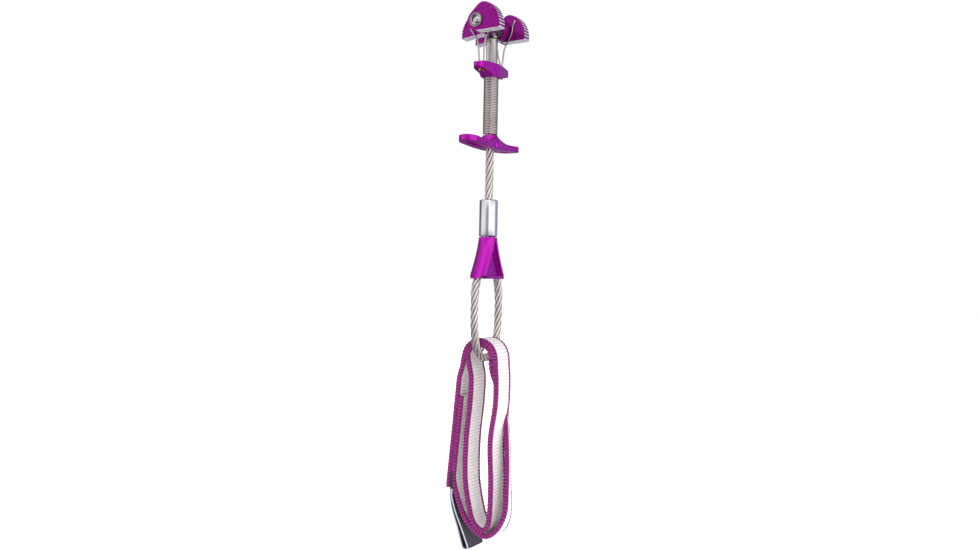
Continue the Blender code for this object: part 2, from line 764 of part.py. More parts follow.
def outer_turn():
    """The open outer turn: from the outer cut end, over the cable, round the bottom and up to the inner cut end."""
    left = in_metres(((14.3, -196.0), (13.9, -191.0), (12.3, -174.7), (10.9, -160.0), (9.7, -149.5), (7.7, -142.5)))
    right = in_metres(((-7.6, -142.5), (-9.8, -149.5), (-12.6, -162.0), (-14.2, -174.7), (-14.6, -191.5)))
    right += in_metres(((-13.4, -204.0), (-10.4, -211.5)))
    base = in_metres(((-4.7, -214.4), (1.6, -211.8)))
    rear = in_metres(((6.8, -204.0), (10.2, -193.0), (10.2, -186.0), (9.3, -174.7), (8.6, -165.0), (8.2, -157.0)))
    return smooth(left, 3) + arc_over(7.58 * MM) + smooth([*right, *base, *rear], 3)


def ring_outlines(path, thickness):
    """Outer and inner outline of a closed strip."""
    wrapped = [path[-1], *path, path[0]]
    return [offset(wrapped, thickness / 2)[1:-1], offset(wrapped, -thickness / 2)[1:-1]]


def make_sling():
    half = WEBBING_WIDTH / 2
    outer = plate([band(outer_turn(), WEBBING_THICKNESS)], -half, half, "YZ")
    obj = place("sling_webbing", outer, "purple_webbing", (0, 0, LOOP_BOTTOM))
    inner = plate(ring_outlines(inner_turn(), WEBBING_THICKNESS), -half + 0.02 * MM, half - 0.02 * MM, "YZ")
    seam_path = in_metres(((9.7, -162.0), (10.85, -174.7), (12.0, -184.0)))
    seam = plate([band(seam_path, 1.8 * MM)], -half + 0.6 * MM, half - 0.6 * MM, "YZ")
    for name, mesh in (("sling_inner_turn", inner), ("sling_seam", seam)):
        boolean(obj, "UNION", name, mesh)


def make_label():
    """A folded strip with both its ends sewn into the overlap of the webbing."""
    down = in_metres(((11.7, -189.5), (11.8, -196.0), (12.0, -200.0), (9.9, -206.3), (6.9, -212.5), (3.6, -219.6)))
    fold = in_metres(((3.9, -220.9), (5.4, -220.9)))
    up = in_metres(((6.4, -219.9), (8.9, -212.5), (11.6, -205.6), (12.8, -200.0), (12.6, -196.0), (12.4, -189.5)))
    half = LABEL_WIDTH / 2
    path = smooth([*down, *fold, *up], 3)
    place("sling_label", plate([band(path, LABEL_THICKNESS)], -half, half, "YZ"), "black_label", (0, 0, LOOP_BOTTOM))


make_head()
make_terminal()
make_cable()
make_ferrule()
make_spreader()
make_wires()
make_collar()
make_sheath()
make_bar()
make_sling()
make_label()
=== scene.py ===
from math import atan2, cos, exp, hypot, pi, radians, sin, sqrt

import bmesh
import bpy
import numpy as np
from mathutils import Matrix, Vector


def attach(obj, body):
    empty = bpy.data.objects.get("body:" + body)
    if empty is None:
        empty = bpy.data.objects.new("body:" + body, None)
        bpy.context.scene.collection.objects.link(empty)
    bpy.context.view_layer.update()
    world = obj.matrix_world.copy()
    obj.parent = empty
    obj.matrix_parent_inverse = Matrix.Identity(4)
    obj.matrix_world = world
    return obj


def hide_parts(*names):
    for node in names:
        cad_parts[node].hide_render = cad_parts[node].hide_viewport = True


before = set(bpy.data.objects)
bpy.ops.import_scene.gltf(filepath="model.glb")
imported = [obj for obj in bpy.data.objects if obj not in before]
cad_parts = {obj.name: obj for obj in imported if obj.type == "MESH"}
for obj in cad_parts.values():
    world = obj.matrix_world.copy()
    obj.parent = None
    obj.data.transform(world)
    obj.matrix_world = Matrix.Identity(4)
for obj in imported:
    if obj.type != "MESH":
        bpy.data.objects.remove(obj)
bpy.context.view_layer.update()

MM = 0.001
RIB_PITCH = 1.4  # millimetres from rib to rib of the webbing, in the tape's UVs too
for name in ("Cube", "Light", "Camera"):
    if name in bpy.data.objects:
        bpy.data.objects.remove(bpy.data.objects[name], do_unlink=True)


# ---------------------------------------------------------------- shader nodes
def new_material(name):
    mat = bpy.data.materials.new(name)
    mat.use_nodes = True
    return mat, mat.node_tree, mat.node_tree.nodes["Principled BSDF"]


def feed(tree, value, socket):
    """Links another node's output to the socket, or sets the socket's own value."""
    if isinstance(value, bpy.types.NodeSocket):
        tree.links.new(value, socket)
    else:
        socket.default_value = value


def coordinates(tree, kind):
    return tree.nodes.new("ShaderNodeTexCoord").outputs[kind]


def separate(tree, vector):
    node = tree.nodes.new("ShaderNodeSeparateXYZ")
    tree.links.new(vector, node.inputs["Vector"])
    return node.outputs


def calculate(tree, operation, *values):
    node = tree.nodes.new("ShaderNodeMath")
    node.operation = operation
    for value, socket in zip(values, node.inputs):
        feed(tree, value, socket)
    return node.outputs["Value"]


def map_range(tree, value, low, high, to_low=0.0, to_high=1.0):
    """The value carried from low-high to to_low-to_high, and held at both ends."""
    node = tree.nodes.new("ShaderNodeMapRange")
    for socket, number in (("From Min", low), ("From Max", high), ("To Min", to_low), ("To Max", to_high)):
        node.inputs[socket].default_value = number
    tree.links.new(value, node.inputs["Value"])
    return node.outputs["Result"]


def blend(tree, factor, first, second, kind="MIX", data="RGBA"):
    node = tree.nodes.new("ShaderNodeMix")
    node.data_type = data
    node.blend_type = kind
    feed(tree, factor, node.inputs["Factor"])
    feed(tree, first, node.inputs["A"])
    feed(tree, second, node.inputs["B"])
    return node.outputs["Result"]


def noise(tree, coords, scale, detail=3.0, stretch=(1, 1, 1)):
    mapping = tree.nodes.new("ShaderNodeMapping")
    mapping.inputs["Scale"].default_value = stretch
    tree.links.new(coords, mapping.inputs["Vector"])
    texture = tree.nodes.new("ShaderNodeTexNoise")
    texture.inputs["Scale"].default_value = scale
    texture.inputs["Detail"].default_value = detail
    tree.links.new(mapping.outputs["Vector"], texture.inputs["Vector"])
    return texture.outputs["Fac"]


def ramp(tree, source, stops):
    node = tree.nodes.new("ShaderNodeValToRGB")
    elements = node.color_ramp.elements
    while len(elements) < len(stops):
        elements.new(0.5)
    for element, (place, colour) in zip(elements, stops):
        element.position = place
        element.color = (*colour, 1.0)
    tree.links.new(source, node.inputs["Fac"])
    return node.outputs["Color"]


def dent(tree, shader, height, strength, depth):
    node = tree.nodes.new("ShaderNodeBump")
    node.inputs["Strength"].default_value = strength
    node.inputs["Distance"].default_value = depth
    tree.links.new(height, node.inputs["Height"])
    tree.links.new(node.outputs["Normal"], shader.inputs["Normal"])


# ---------------------------------------------------------------- materials
def metal(
    name, dark, light, rough, grain=900.0, stretch=(1, 1, 1), bump=0.05, spread=0.1, metallic=1.0,
    streak=None, coat=0.0,
):
    """A metal whose colour, roughness and surface vary with a fine grain and a broad smudge or streak; a
    streak is painted reflection, long light and dark bands standing in for the studio seen in the metal.
    """
    mat, tree, shader = new_material(name)
    coords = coordinates(tree, "Object")
    if streak is None:
        broad = noise(tree, coords, 120.0, 4.0)
    else:
        broad = noise(tree, coords, streak, 2.0, (1, 1, 0.06))
    fine = noise(tree, coords, grain, 6.0, stretch)
    tree.links.new(ramp(tree, broad, ((0.3, dark), (0.7, light))), shader.inputs["Base Color"])
    roughness = map_range(tree, fine, 0.25, 0.75, max(rough - spread, 0.02), rough + spread)
    tree.links.new(roughness, shader.inputs["Roughness"])
    shader.inputs["Metallic"].default_value = metallic
    shader.inputs["Coat Weight"].default_value = coat
    shader.inputs["Coat Roughness"].default_value = 0.12
    dent(tree, shader, fine, bump, 0.1 * MM)
    return mat


def strand_metal(name):
    """Rope steel: fine wires as slanting lines, and painted shade where a strand dips between its neighbours.
    """
    mat = metal(
        name, (0.66, 0.60, 0.565), (0.84, 0.78, 0.745), 0.26, 2500.0, spread=0.06, metallic=0.85
    )
    tree = mat.node_tree
    shader = tree.nodes["Principled BSDF"]
    uv = coordinates(tree, "UV")
    wires = tree.nodes.new("ShaderNodeTexWave")
    wires.inputs["Scale"].default_value = 1.0
    wires.inputs["Distortion"].default_value = 0.0
    wires.bands_direction = "DIAGONAL"
    tree.links.new(uv, wires.inputs["Vector"])
    dent(tree, shader, wires.outputs["Fac"], 0.08, 0.2 * MM)
    tint = ramp(tree, wires.outputs["Fac"], ((0.0, (0.72, 0.70, 0.68)), (0.45, (1.0, 1.0, 1.0))))
    plain = shader.inputs["Base Color"].links[0].from_socket
    lined = blend(tree, 0.2, plain, tint, "MULTIPLY")
    # Painted shade: the colour darkens on the side of each strand that faces into the gaps between strands.
    outwards = calculate(tree, "COSINE", calculate(tree, "MULTIPLY", separate(tree, uv)["Y"], 2 * pi / 3))
    painted_gap_shade_stops = ((0.0, (0.10, 0.085, 0.08)), (0.2, (0.30, 0.265, 0.25)), (0.6, (1.0, 1.0, 1.0)))
    shaded = blend(tree, 1.0, lined, ramp(tree, outwards, painted_gap_shade_stops), "MULTIPLY")
    tree.links.new(shaded, shader.inputs["Base Color"])
    return mat


def webbing_material():
    """Woven tape with painted shade between its ribs: UV.x is the distance along in millimetres, UV.y the
    distance across from the middle.
    """
    mat, tree, shader = new_material("webbing_weave")
    uv = coordinates(tree, "UV")
    place = separate(tree, uv)
    fibre = noise(tree, uv, 1.2, 5.0, (6.0, 1.5, 1.0))
    broad = noise(tree, uv, 0.5, 3.0, (0.6, 1.0, 1.0))
    pale = ramp(tree, fibre, ((0.25, (0.60, 0.55, 0.55)), (0.6, (0.86, 0.83, 0.82))))
    purple_stops = ((0.25, (0.11, 0.003, 0.07)), (0.5, (0.24, 0.008, 0.155)), (0.75, (0.38, 0.030, 0.27)))
    purple = ramp(tree, fibre, purple_stops)
    away = calculate(tree, "ABSOLUTE", place["Y"])
    edge = calculate(tree, "GREATER_THAN", calculate(tree, "MULTIPLY_ADD", broad, 0.5, away), 4.5)
    colour = blend(tree, edge, pale, purple)
    # Painted shade: the colour darkens in the groove between ribs, lightly on the pale middle and strongly on
    # the purple edges.
    swing = calculate(tree, "COSINE", calculate(tree, "MULTIPLY", place["X"], 2 * pi / RIB_PITCH))
    groove = map_range(tree, swing, -1.0, -0.35, 0.12, 1.0)
    depth = blend(tree, edge, 0.24, 0.95, data="FLOAT")
    tree.links.new(blend(tree, depth, colour, groove, "MULTIPLY"), shader.inputs["Base Color"])
    shader.inputs["Roughness"].default_value = 0.85
    shader.inputs["Sheen Weight"].default_value = 0.1
    dent(tree, shader, fibre, 0.5, 0.2 * MM)
    return mat


def cloth_material(name, dark, light, rough, stretch=(3.0, 3.0, 1.0)):
    mat, tree, shader = new_material(name)
    fibre = noise(tree, coordinates(tree, "UV"), 1.5, 5.0, stretch)
    tree.links.new(ramp(tree, fibre, ((0.3, dark), (0.7, light))), shader.inputs["Base Color"])
    shader.inputs["Roughness"].default_value = rough
    shader.inputs["Sheen Weight"].default_value = 0.15
    dent(tree, shader, fibre, 0.35, 0.1 * MM)
    return mat


ANODISED = metal(
    "anodised_purple", (0.25, 0.004, 0.20), (0.33, 0.008, 0.27), 0.34, 1500.0,
    bump=0.08, spread=0.06, metallic=0.8,
)
# Painted light: the same purple anodising as above in a lighter copy, for the brighter look of the rounded
# bar, collar and wedge.
ANODISED_PAINTED_LIT = metal(
    "anodised_purple_painted_lit", (0.47, 0.006, 0.43), (0.59, 0.018, 0.54), 0.29, 1500.0,
    bump=0.03, spread=0.04, metallic=0.9, coat=0.15,
)
BARE = metal(
    "bare_aluminium", (0.60, 0.54, 0.61), (0.76, 0.71, 0.78), 0.36, 1800.0, bump=0.1, metallic=0.6
)
STEEL = metal("machined_steel", (0.50, 0.46, 0.44), (0.66, 0.62, 0.60), 0.20, 1200.0, (1, 1, 6))
# Painted reflections: the streaks run from near black to light steel along the shank, standing in for the
# bright and dark bands it reflects.
SHANK_STEEL_PAINTED_REFLECTIONS = metal(
    "shank_steel_painted_reflections", (0.10, 0.085, 0.08), (0.62, 0.59, 0.58), 0.14, 700.0, (1, 1, 0.15), streak=520.0
)
WASHER_STEEL = metal("washer_steel", (0.27, 0.25, 0.24), (0.42, 0.39, 0.38), 0.20, 1200.0, bump=0.03)
POLISHED = metal(
    "polished_steel", (0.62, 0.61, 0.62), (0.80, 0.79, 0.81), 0.08, bump=0.02, spread=0.04
)
COIL_STEEL = metal(
    "sheath_coil_steel", (0.50, 0.44, 0.415), (0.64, 0.58, 0.55), 0.26, 1500.0,
    bump=0.02, spread=0.04, metallic=0.95,
)
ROPE = strand_metal("rope_steel")
BRIGHT = metal(
    "swaged_aluminium", (0.76, 0.77, 0.80), (0.88, 0.89, 0.92), 0.15, 900.0, (1, 1, 0.08), 0.06, 0.05
)
BRASS = metal("brass_nipple", (0.62, 0.40, 0.12), (0.80, 0.56, 0.22), 0.3, 1500.0, bump=0.06)
WEBBING = webbing_material()
LABEL = cloth_material("label_tape", (0.014, 0.012, 0.018), (0.034, 0.030, 0.042), 0.55, (2.5, 8.0, 1.0))
LABEL_EDGE = cloth_material("label_edge", (0.34, 0.37, 0.44), (0.55, 0.58, 0.66), 0.5)
THREAD = cloth_material("thread", (0.20, 0.01, 0.16), (0.42, 0.04, 0.36), 0.7)


# ---------------------------------------------------------------- meshes
def in_metres(points):
    return [tuple(value * MM for value in point) for point in points]


def finish_mesh(bm):
    bmesh.ops.remove_doubles(bm, verts=bm.verts, dist=1e-7)
    bmesh.ops.recalc_face_normals(bm, faces=bm.faces)
    mesh = bpy.data.meshes.new("piece")
    bm.to_mesh(mesh)
    bm.free()
    return mesh


def cleaned(mesh):
    bm = bmesh.new()
    bm.from_mesh(mesh)
    return finish_mesh(bm)


def add_piece(name, mesh, materials, body, nodes=(), sharp=60):
    """Adds a visual piece; each face keeps its mark, which picks one of the materials."""
    marks = np.zeros(len(mesh.polygons), np.int32)
    mesh.polygons.foreach_get("material_index", marks)
    mesh.materials.clear()
    for mat in materials:
        mesh.materials.append(mat)
    mesh.polygons.foreach_set("material_index", np.minimum(marks, len(materials) - 1))
    mesh.shade_smooth()
    if sharp:
        mesh.set_sharp_from_angle(angle=radians(sharp))
    obj = bpy.data.objects.new(name, mesh)
    bpy.context.scene.collection.objects.link(obj)
    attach(obj, body)
    if nodes:
        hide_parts(*nodes)
    return obj


def grid_mesh(name, rows, uvs=None):
    """A capped tube through rows of equal counts of points, with a UV for each point."""
    rows = np.asarray(rows)
    count, around = rows.shape[:2]
    i = np.arange(count - 1)[:, None] * around
    k = np.arange(around)[None, :]
    j = (k + 1) % around
    faces = np.stack([i + k, i + j, i + around + j, i + around + k], axis=-1).reshape(-1, 4)
    polygons = faces.tolist()
    polygons.append(list(range(around))[::-1])
    polygons.append(list(range((count - 1) * around, count * around)))
    mesh = bpy.data.meshes.new(name)
    mesh.from_pydata(rows.reshape(-1, 3).tolist(), [], polygons)
    if uvs is not None:
        layer = mesh.uv_layers.new(name="UVMap")
        flat = np.asarray(uvs).reshape(-1, 2)
        index = np.empty(len(mesh.loops), np.int64)
        mesh.loops.foreach_get("vertex_index", index)
        layer.data.foreach_set("uv", flat[index].astype(np.float32).ravel())
    mesh.update()
    return mesh


def unit(vectors):
    return vectors / np.linalg.norm(vectors, axis=1)[:, None]


def square_to(vectors, tangent):
    """Unit vectors: each of the given ones with its share along the tangent taken away."""
    return unit(vectors - (vectors * tangent).sum(1)[:, None] * tangent)


def resample(points, step):
    """Points at an even spacing near step along a polyline, and the distance along to each."""
    points = np.asarray(points, float)
    gaps = np.linalg.norm(np.diff(points[:, :3], axis=0), axis=1)
    along = np.concatenate([[0], np.cumsum(gaps)])
    count = max(int(along[-1] / step), 2)
    where = np.linspace(0, along[-1], count + 1)
    return np.stack([np.interp(where, along, column) for column in points.T], axis=1), where


def smooth(points, steps=8):
    """A Catmull-Rom curve through the points."""
    known = [np.array(point, float) for point in points]
    padded = [2 * known[0] - known[1], *known, 2 * known[-1] - known[-2]]
    line = []
    for a, b, c, d in zip(padded, padded[1:], padded[2:], padded[3:]):
        for i in range(steps):
            t = i / steps
            square = (2 * a - 5 * b + 4 * c - d) * t**2
            cube = (3 * b - a - 3 * c + d) * t**3
            line.append(0.5 * (2 * b + (c - a) * t + square + cube))
    line.append(known[-1])
    return np.array(line)


def tube_rows(centre, radius, around, reference, phase=0.0):
    """Rings of points round a line; reference is a vector that the line never runs along."""
    centre = np.asarray(centre, float)
    tangent = unit(np.gradient(centre, axis=0))
    first = square_to(np.broadcast_to(np.asarray(reference, float), centre.shape), tangent)
    second = np.cross(tangent, first)
    angle = (np.linspace(0, 2 * pi, around, endpoint=False) + phase)[None, :, None]
    return centre[:, None] + radius * (np.cos(angle) * first[:, None] + np.sin(angle) * second[:, None])


def cylinder_mesh(radius, start, end, segments=48):
    start, end = Vector(start), Vector(end)
    along = end - start
    spin = along.to_track_quat("Z", "Y").to_matrix().to_4x4()
    where = Matrix.Translation((start + end) / 2) @ spin
    bm = bmesh.new()
    bmesh.ops.create_cone(
        bm, cap_ends=True, segments=segments, radius1=radius, radius2=radius,
        depth=along.length, matrix=where,
    )
    return finish_mesh(bm)


def box_mesh(low, high):
    low, high = Vector(low), Vector(high)
    where = Matrix.Translation((high + low) / 2) @ Matrix.Diagonal((*(high - low), 1.0))
    bm = bmesh.new()
    bmesh.ops.create_cube(bm, size=1.0, matrix=where)
    return finish_mesh(bm)


def turned_mesh(profile, segments=64):
    """A closed profile of radius and height, turned round Z."""
    bm = bmesh.new()
    corners = [bm.verts.new((radius, 0.0, height)) for radius, height in profile]
    edges = [bm.edges.new((a, b)) for a, b in zip(corners, corners[1:] + corners[:1])]
    bmesh.ops.spin(
        bm, geom=corners + edges, cent=(0, 0, 0), axis=(0, 0, 1), angle=2 * pi, steps=segments,
        use_merge=True,
    )
    return finish_mesh(bm)


def prism_mesh(outline, low, high, plane):
    """A prism on a flat outline; plane is XY or XZ, and low and high are along the other axis."""
    bm = bmesh.new()
    rings = []
    for level in (low, high):
        places = [(a, b, level) if plane == "XY" else (a, level, b) for a, b in outline]
        rings.append([bm.verts.new(place) for place in places])
    lower, upper = rings
    bm.faces.new(lower)
    bm.faces.new(upper)
    for i in range(len(outline)):
        j = (i + 1) % len(outline)
        bm.faces.new((lower[i], lower[j], upper[j], upper[i]))
    return finish_mesh(bm)


def evaluated(mesh, tools, remesh=None, smooth_steps=0):
    """The mesh after Booleans with the tools, a voxel remesh and smoothing."""
    obj = bpy.data.objects.new("work", mesh)
    bpy.context.scene.collection.objects.link(obj)
    helpers = []
    for operation, tool in tools:
        helper = bpy.data.objects.new("tool", tool)
        bpy.context.scene.collection.objects.link(helper)
        helpers.append(helper)
        modifier = obj.modifiers.new("cut", "BOOLEAN")
        modifier.operation = operation
        modifier.solver = "EXACT"
        modifier.object = helper
    if remesh:
        modifier = obj.modifiers.new("remesh", "REMESH")
        modifier.mode = "VOXEL"
        modifier.voxel_size = remesh
        modifier.use_smooth_shade = True
    if smooth_steps:
        modifier = obj.modifiers.new("smooth", "SMOOTH")
        modifier.factor = 0.5
        modifier.iterations = smooth_steps
    bpy.context.view_layer.update()
    made = bpy.data.meshes.new_from_object(obj.evaluated_get(bpy.context.evaluated_depsgraph_get()))
    for helper in (obj, *helpers):
        bpy.data.objects.remove(helper, do_unlink=True)
    return made


def arc(radius, centre, segments, start, end):
    """Points on an arc from start to end, in degrees."""
    points = []
    for i in range(segments + 1):
        angle = radians(start + (end - start) * i / segments)
        points.append((centre[0] + radius * cos(angle), centre[1] + radius * sin(angle)))
    return points


def polar(radius, angle):
    return radius * cos(angle), radius * sin(angle)


# ---------------------------------------------------------------- lobes
HUB_RADIUS = 4.4 * MM
LOBES = {
    "outer": {
        "side": -1, "x": (8.6 * MM, 12.9 * MM), "hole": (7.8 * MM, 36.0), "tip": 11.85 * MM,
        "tip_angle": -21.0, "rise": 0.252, "knee": 30.0, "upper_rise": 0.252, "top": 66.0, "back": 132.4,
    },
    "inner": {
        "side": 1, "x": (3.4 * MM, 7.6 * MM), "hole": (6.6 * MM, 25.0), "tip": 11.85 * MM,
        "tip_angle": -27.5, "rise": 0.44, "knee": 16.5, "upper_rise": 0.25, "top": 60.0, "back": 130.0,
    },
}
BACK, CREST, GROOVE = 0, 1, 2  # marks on a lobe's faces: anodised, bare and anodised
TOOTH_PITCH = 1.2 * MM
TOOTH_DEPTH = 0.3 * MM
TOOTH = (  # share of the pitch, depth and mark of each corner of a tooth
    (0.0, 0.0, CREST),
    (0.25, 0.0, CREST),
    (0.48, 0.0, GROOVE),
    (0.58, TOOTH_DEPTH, GROOVE),
    (0.78, TOOTH_DEPTH, GROOVE),
)
TEETH_END = 46.0
SHOULDER_ROUNDING = 2.3 * MM
BORE_RADIUS = 2.44 * MM
HOLE_RADIUS = 0.5 * MM
SPRING_POCKET = (3.75 * MM, 2.0 * MM)
SPRING_LEG_RADIUS = 3.2 * MM
SPRING_LEG_ANGLE = 200.0
SPRING_TURNS = 4.5


def hole_centre(row):
    radius, angle = LOBES[row]["hole"]
    y, z = polar(radius, radians(angle))
    return LOBES[row]["side"] * y, z


def lobe_radius(lobe, angle):
    """The log spiral of the gripping edge, with another rise above the knee."""
    tip = radians(lobe["tip_angle"])
    knee = radians(lobe["knee"])
    lower = lobe["rise"] * (min(angle, knee) - tip)
    upper = lobe["upper_rise"] * max(angle - knee, 0.0)
    return lobe["tip"] * exp(-lower - upper)


def shoulder_corner(lobe, back):
    """Where the straight back meets the spiral, and the back's direction."""
    foot = polar(HUB_RADIUS, back)
    along = (sin(back), -cos(back))
    reach = 0.0
    corner = foot
    while hypot(*corner) < lobe_radius(lobe, atan2(corner[1], corner[0])):
        reach += 0.02 * MM
        corner = (foot[0] + along[0] * reach, foot[1] + along[1] * reach)
    return corner, along


def lobe_outline(lobe):
    """Points of Y, Z and mark: the teeth, the smooth top, the rounded shoulder and the hub."""
    start, end = radians(lobe["tip_angle"]), radians(TEETH_END)
    mean = lobe_radius(lobe, (start + end) / 2)
    count = round((end - start) * mean / TOOTH_PITCH)
    pitch = (end - start) / count
    points = []
    for i in range(count):
        for share, depth, mark in TOOTH:
            angle = start + i * pitch + share * pitch
            points.append((*polar(lobe_radius(lobe, angle) - depth, angle), mark))
    for i in range(9):
        angle = end + (radians(lobe["top"]) - end) * i / 8
        points.append((*polar(lobe_radius(lobe, angle), angle), CREST))
    back = radians(lobe["back"])
    corner, along = shoulder_corner(lobe, back)
    leave = [at - step * SHOULDER_ROUNDING for at, step in zip(corner, along)]
    first = points[-1]
    for i in range(1, 13):
        t = i / 12
        weights = ((1 - t) ** 2, 2 * t * (1 - t), t**2)
        y, z = (sum(w * p[axis] for w, p in zip(weights, (first, corner, leave))) for axis in (0, 1))
        points.append((y, z, CREST if t < 0.5 else BACK))
    share = HUB_RADIUS / lobe["tip"]
    under = 2 * pi + start - atan2(sqrt(1 - share * share), share)  # where a line from the tip grazes the hub
    for i in range(37):
        points.append((*polar(HUB_RADIUS, back + (under - back) * i / 36), BACK if i < 36 else CREST))
    return [(lobe["side"] * y, z, mark) for y, z, mark in points]


def lobe_solid(outline, low, high, side):
    """A prism on the outline with a small double chamfer round both faces."""
    count = len(outline)
    normals = []
    for i in range(count):
        a, b = outline[i - 1], outline[(i + 1) % count]
        run = hypot(b[0] - a[0], b[1] - a[1])
        normals.append((side * (b[1] - a[1]) / run, -side * (b[0] - a[0]) / run))
    wide, fine = 0.16 * MM, 0.05 * MM
    steps = (
        (low, wide), (low + fine, fine), (low + wide, 0.0),
        (high - wide, 0.0), (high - fine, fine), (high, wide),
    )
    bm = bmesh.new()
    rings = []
    for x, shrink in steps:
        places = [(x, p[0] - shrink * n[0], p[1] - shrink * n[1]) for p, n in zip(outline, normals)]
        rings.append([bm.verts.new(place) for place in places])
    for lower, upper in zip(rings, rings[1:]):
        for i in range(count):
            j = (i + 1) % count
            face = bm.faces.new((lower[i], lower[j], upper[j], upper[i]))
            face.material_index = outline[i][2]
    for ring in (rings[0], rings[-1]):
        bm.faces.new(ring).material_index = BACK
    return finish_mesh(bm)


def lobe_piece(row, end, side_name):
    lobe = LOBES[row]
    near, far = lobe["x"]
    low, high = sorted((end * near, end * far))
    mesh = lobe_solid(lobe_outline(lobe), low, high, lobe["side"])
    for mat in (ANODISED, BARE, ANODISED):
        mesh.materials.append(mat)
    face_x, inwards = (far, -1) if row == "inner" else (near, 1)
    pocket_radius, pocket_depth = SPRING_POCKET
    floor = face_x + inwards * pocket_depth
    mouth = face_x - inwards * 0.5 * MM
    leg_turns = 0 if row == "inner" else SPRING_TURNS
    y, z = hole_centre(row)
    leg_y, leg_z = polar(SPRING_LEG_RADIUS, radians(SPRING_LEG_ANGLE + 360 * leg_turns))
    leg_ends = [end * (floor + inwards * shift) for shift in (-0.4 * MM, 1.5 * MM)]
    cutters = (
        cylinder_mesh(BORE_RADIUS, (low - MM, 0, 0), (high + MM, 0, 0), 64),
        cylinder_mesh(HOLE_RADIUS, (low - MM, y, z), (high + MM, y, z), 24),
        cylinder_mesh(pocket_radius, (end * floor, 0, 0), (end * mouth, 0, 0), 64),
        cylinder_mesh(HOLE_RADIUS, *((x, leg_y, leg_z) for x in leg_ends), 16),
    )
    made = evaluated(mesh, [("DIFFERENCE", cutter) for cutter in cutters])
    tag = row + "_" + side_name
    name = "cam_lobe_" + tag
    materials = (ANODISED, BARE, ANODISED)
    add_piece(name + "_machined", made, materials, "lobe_" + tag, (name,), 30)


SIDES = ((-1, "left"), (1, "right"))
for END, SIDE_NAME in SIDES:
    for ROW in LOBES:
        lobe_piece(ROW, END, SIDE_NAME)


# ---------------------------------------------------------------- axle
AXLE_HALF = 13.8 * MM
AXLE_RADIUS = 2.38 * MM
DOME_SHARE = 0.76
DOME_DROP = 0.75 * MM
RING_GROOVE = 1.1 * MM
RING_DROP = 0.2 * MM


def axle_piece():
    """The axle, with a domed end inside a groove and a rounded rim."""
    face = -AXLE_HALF
    profile = [(0.0, face)]
    for i in range(1, 11):
        profile.append((AXLE_RADIUS * DOME_SHARE * i / 10, face + DOME_DROP * (i / 10) ** 2))
    for share, depth in ((0.775, RING_GROOVE), (0.85, RING_GROOVE), (0.87, RING_DROP)):
        profile.append((AXLE_RADIUS * share, face + depth))
    for angle in range(15, 91, 15):
        radius = AXLE_RADIUS - 0.32 * MM + 0.32 * MM * sin(radians(angle))
        profile.append((radius, face + 0.42 * MM - 0.3 * MM * cos(radians(angle))))
    profile.append((AXLE_RADIUS, 0.0))
    mirrored = [(radius, -height) for radius, height in profile[-2::-1]]
    mesh = turned_mesh(profile + mirrored)
    mesh.transform(Matrix.Rotation(radians(90), 4, "Y"))
    add_piece("axle_pin", mesh, (POLISHED,), "stem", ("axle",), 30)


axle_piece()


# ---------------------------------------------------------------- stem cable
CABLE_RADIUS = 1.75 * MM
CABLE_TOP = -10.3 * MM
CABLE_END = -81.0 * MM
FERRULE_Z = (-73.3 * MM, -88.9 * MM)
FERRULE_RADIUS = 3.9 * MM
LEG_SPREAD = 1.85 * MM
SPREADER_Z = (-89.2 * MM, -106.8 * MM)
SPREADER_FLARE = 7.2 * MM
LEG_EXIT = 8.05 * MM
LOOP_HALF = 9.8 * MM
LOOP_WIDEST = -118.0 * MM
LOOP_BOTTOM = -140.3 * MM
LOOP_SQUARENESS = 2.85
STRANDS = 6
STRAND_RADIUS = 0.60 * MM
CORE_RADIUS = 0.7 * MM
ROPE_LAY = 21.0 * MM
WIRE_SPACING = 1.1 * MM


def spreader_offset(height):
    share = (SPREADER_Z[0] - height) / (SPREADER_Z[0] - SPREADER_Z[1])
    return SPREADER_FLARE * max(share, 0.0) ** 1.35


def leg_offset(height):
    return LEG_SPREAD + (LEG_EXIT - LEG_SPREAD) * spreader_offset(height) / SPREADER_FLARE


def cable_leg():
    """The right half of the loop, as X and Z: through the spreader, out to the widest place and round."""
    leg = []
    for i in range(25):
        height = SPREADER_Z[0] + (SPREADER_Z[1] - SPREADER_Z[0]) * i / 24
        leg.append((leg_offset(height), height))
    exit_x, exit_z = leg[-1]
    slope = (leg[-1][0] - leg[-2][0]) / (leg[-2][1] - leg[-1][1])
    drop = SPREADER_Z[1] - LOOP_WIDEST
    for i in range(1, 25):
        t = i / 24
        leave = (2 * t**3 - 3 * t**2 + 1) * exit_x + (t**3 - 2 * t**2 + t) * slope * drop
        leg.append((leave + (3 * t**2 - 2 * t**3) * LOOP_HALF, exit_z - drop * t))
    power = 2 / LOOP_SQUARENESS
    for i in range(1, 57):
        angle = pi / 2 * i / 56
        x = LOOP_HALF * max(cos(angle), 0.0) ** power if i < 56 else 0.0
        leg.append((x, LOOP_WIDEST - (LOOP_WIDEST - LOOP_BOTTOM) * sin(angle) ** power))
    return leg


def cable_line():
    """From the terminal down, round the thumb loop and back up into the ferrule."""
    split = FERRULE_Z[0] - 0.6 * MM
    points = [(0.0, CABLE_TOP), (0.0, split)]
    for i in range(1, 17):
        t = i / 16
        points.append((LEG_SPREAD * (3 * t**2 - 2 * t**3), split - 6.0 * MM * t))
    leg = cable_leg()
    points += leg
    points += [(-x, z) for x, z in leg[-2::-1]]
    points.append((-LEG_SPREAD, CABLE_END))
    return [(x, 0.0, z) for x, z in points]


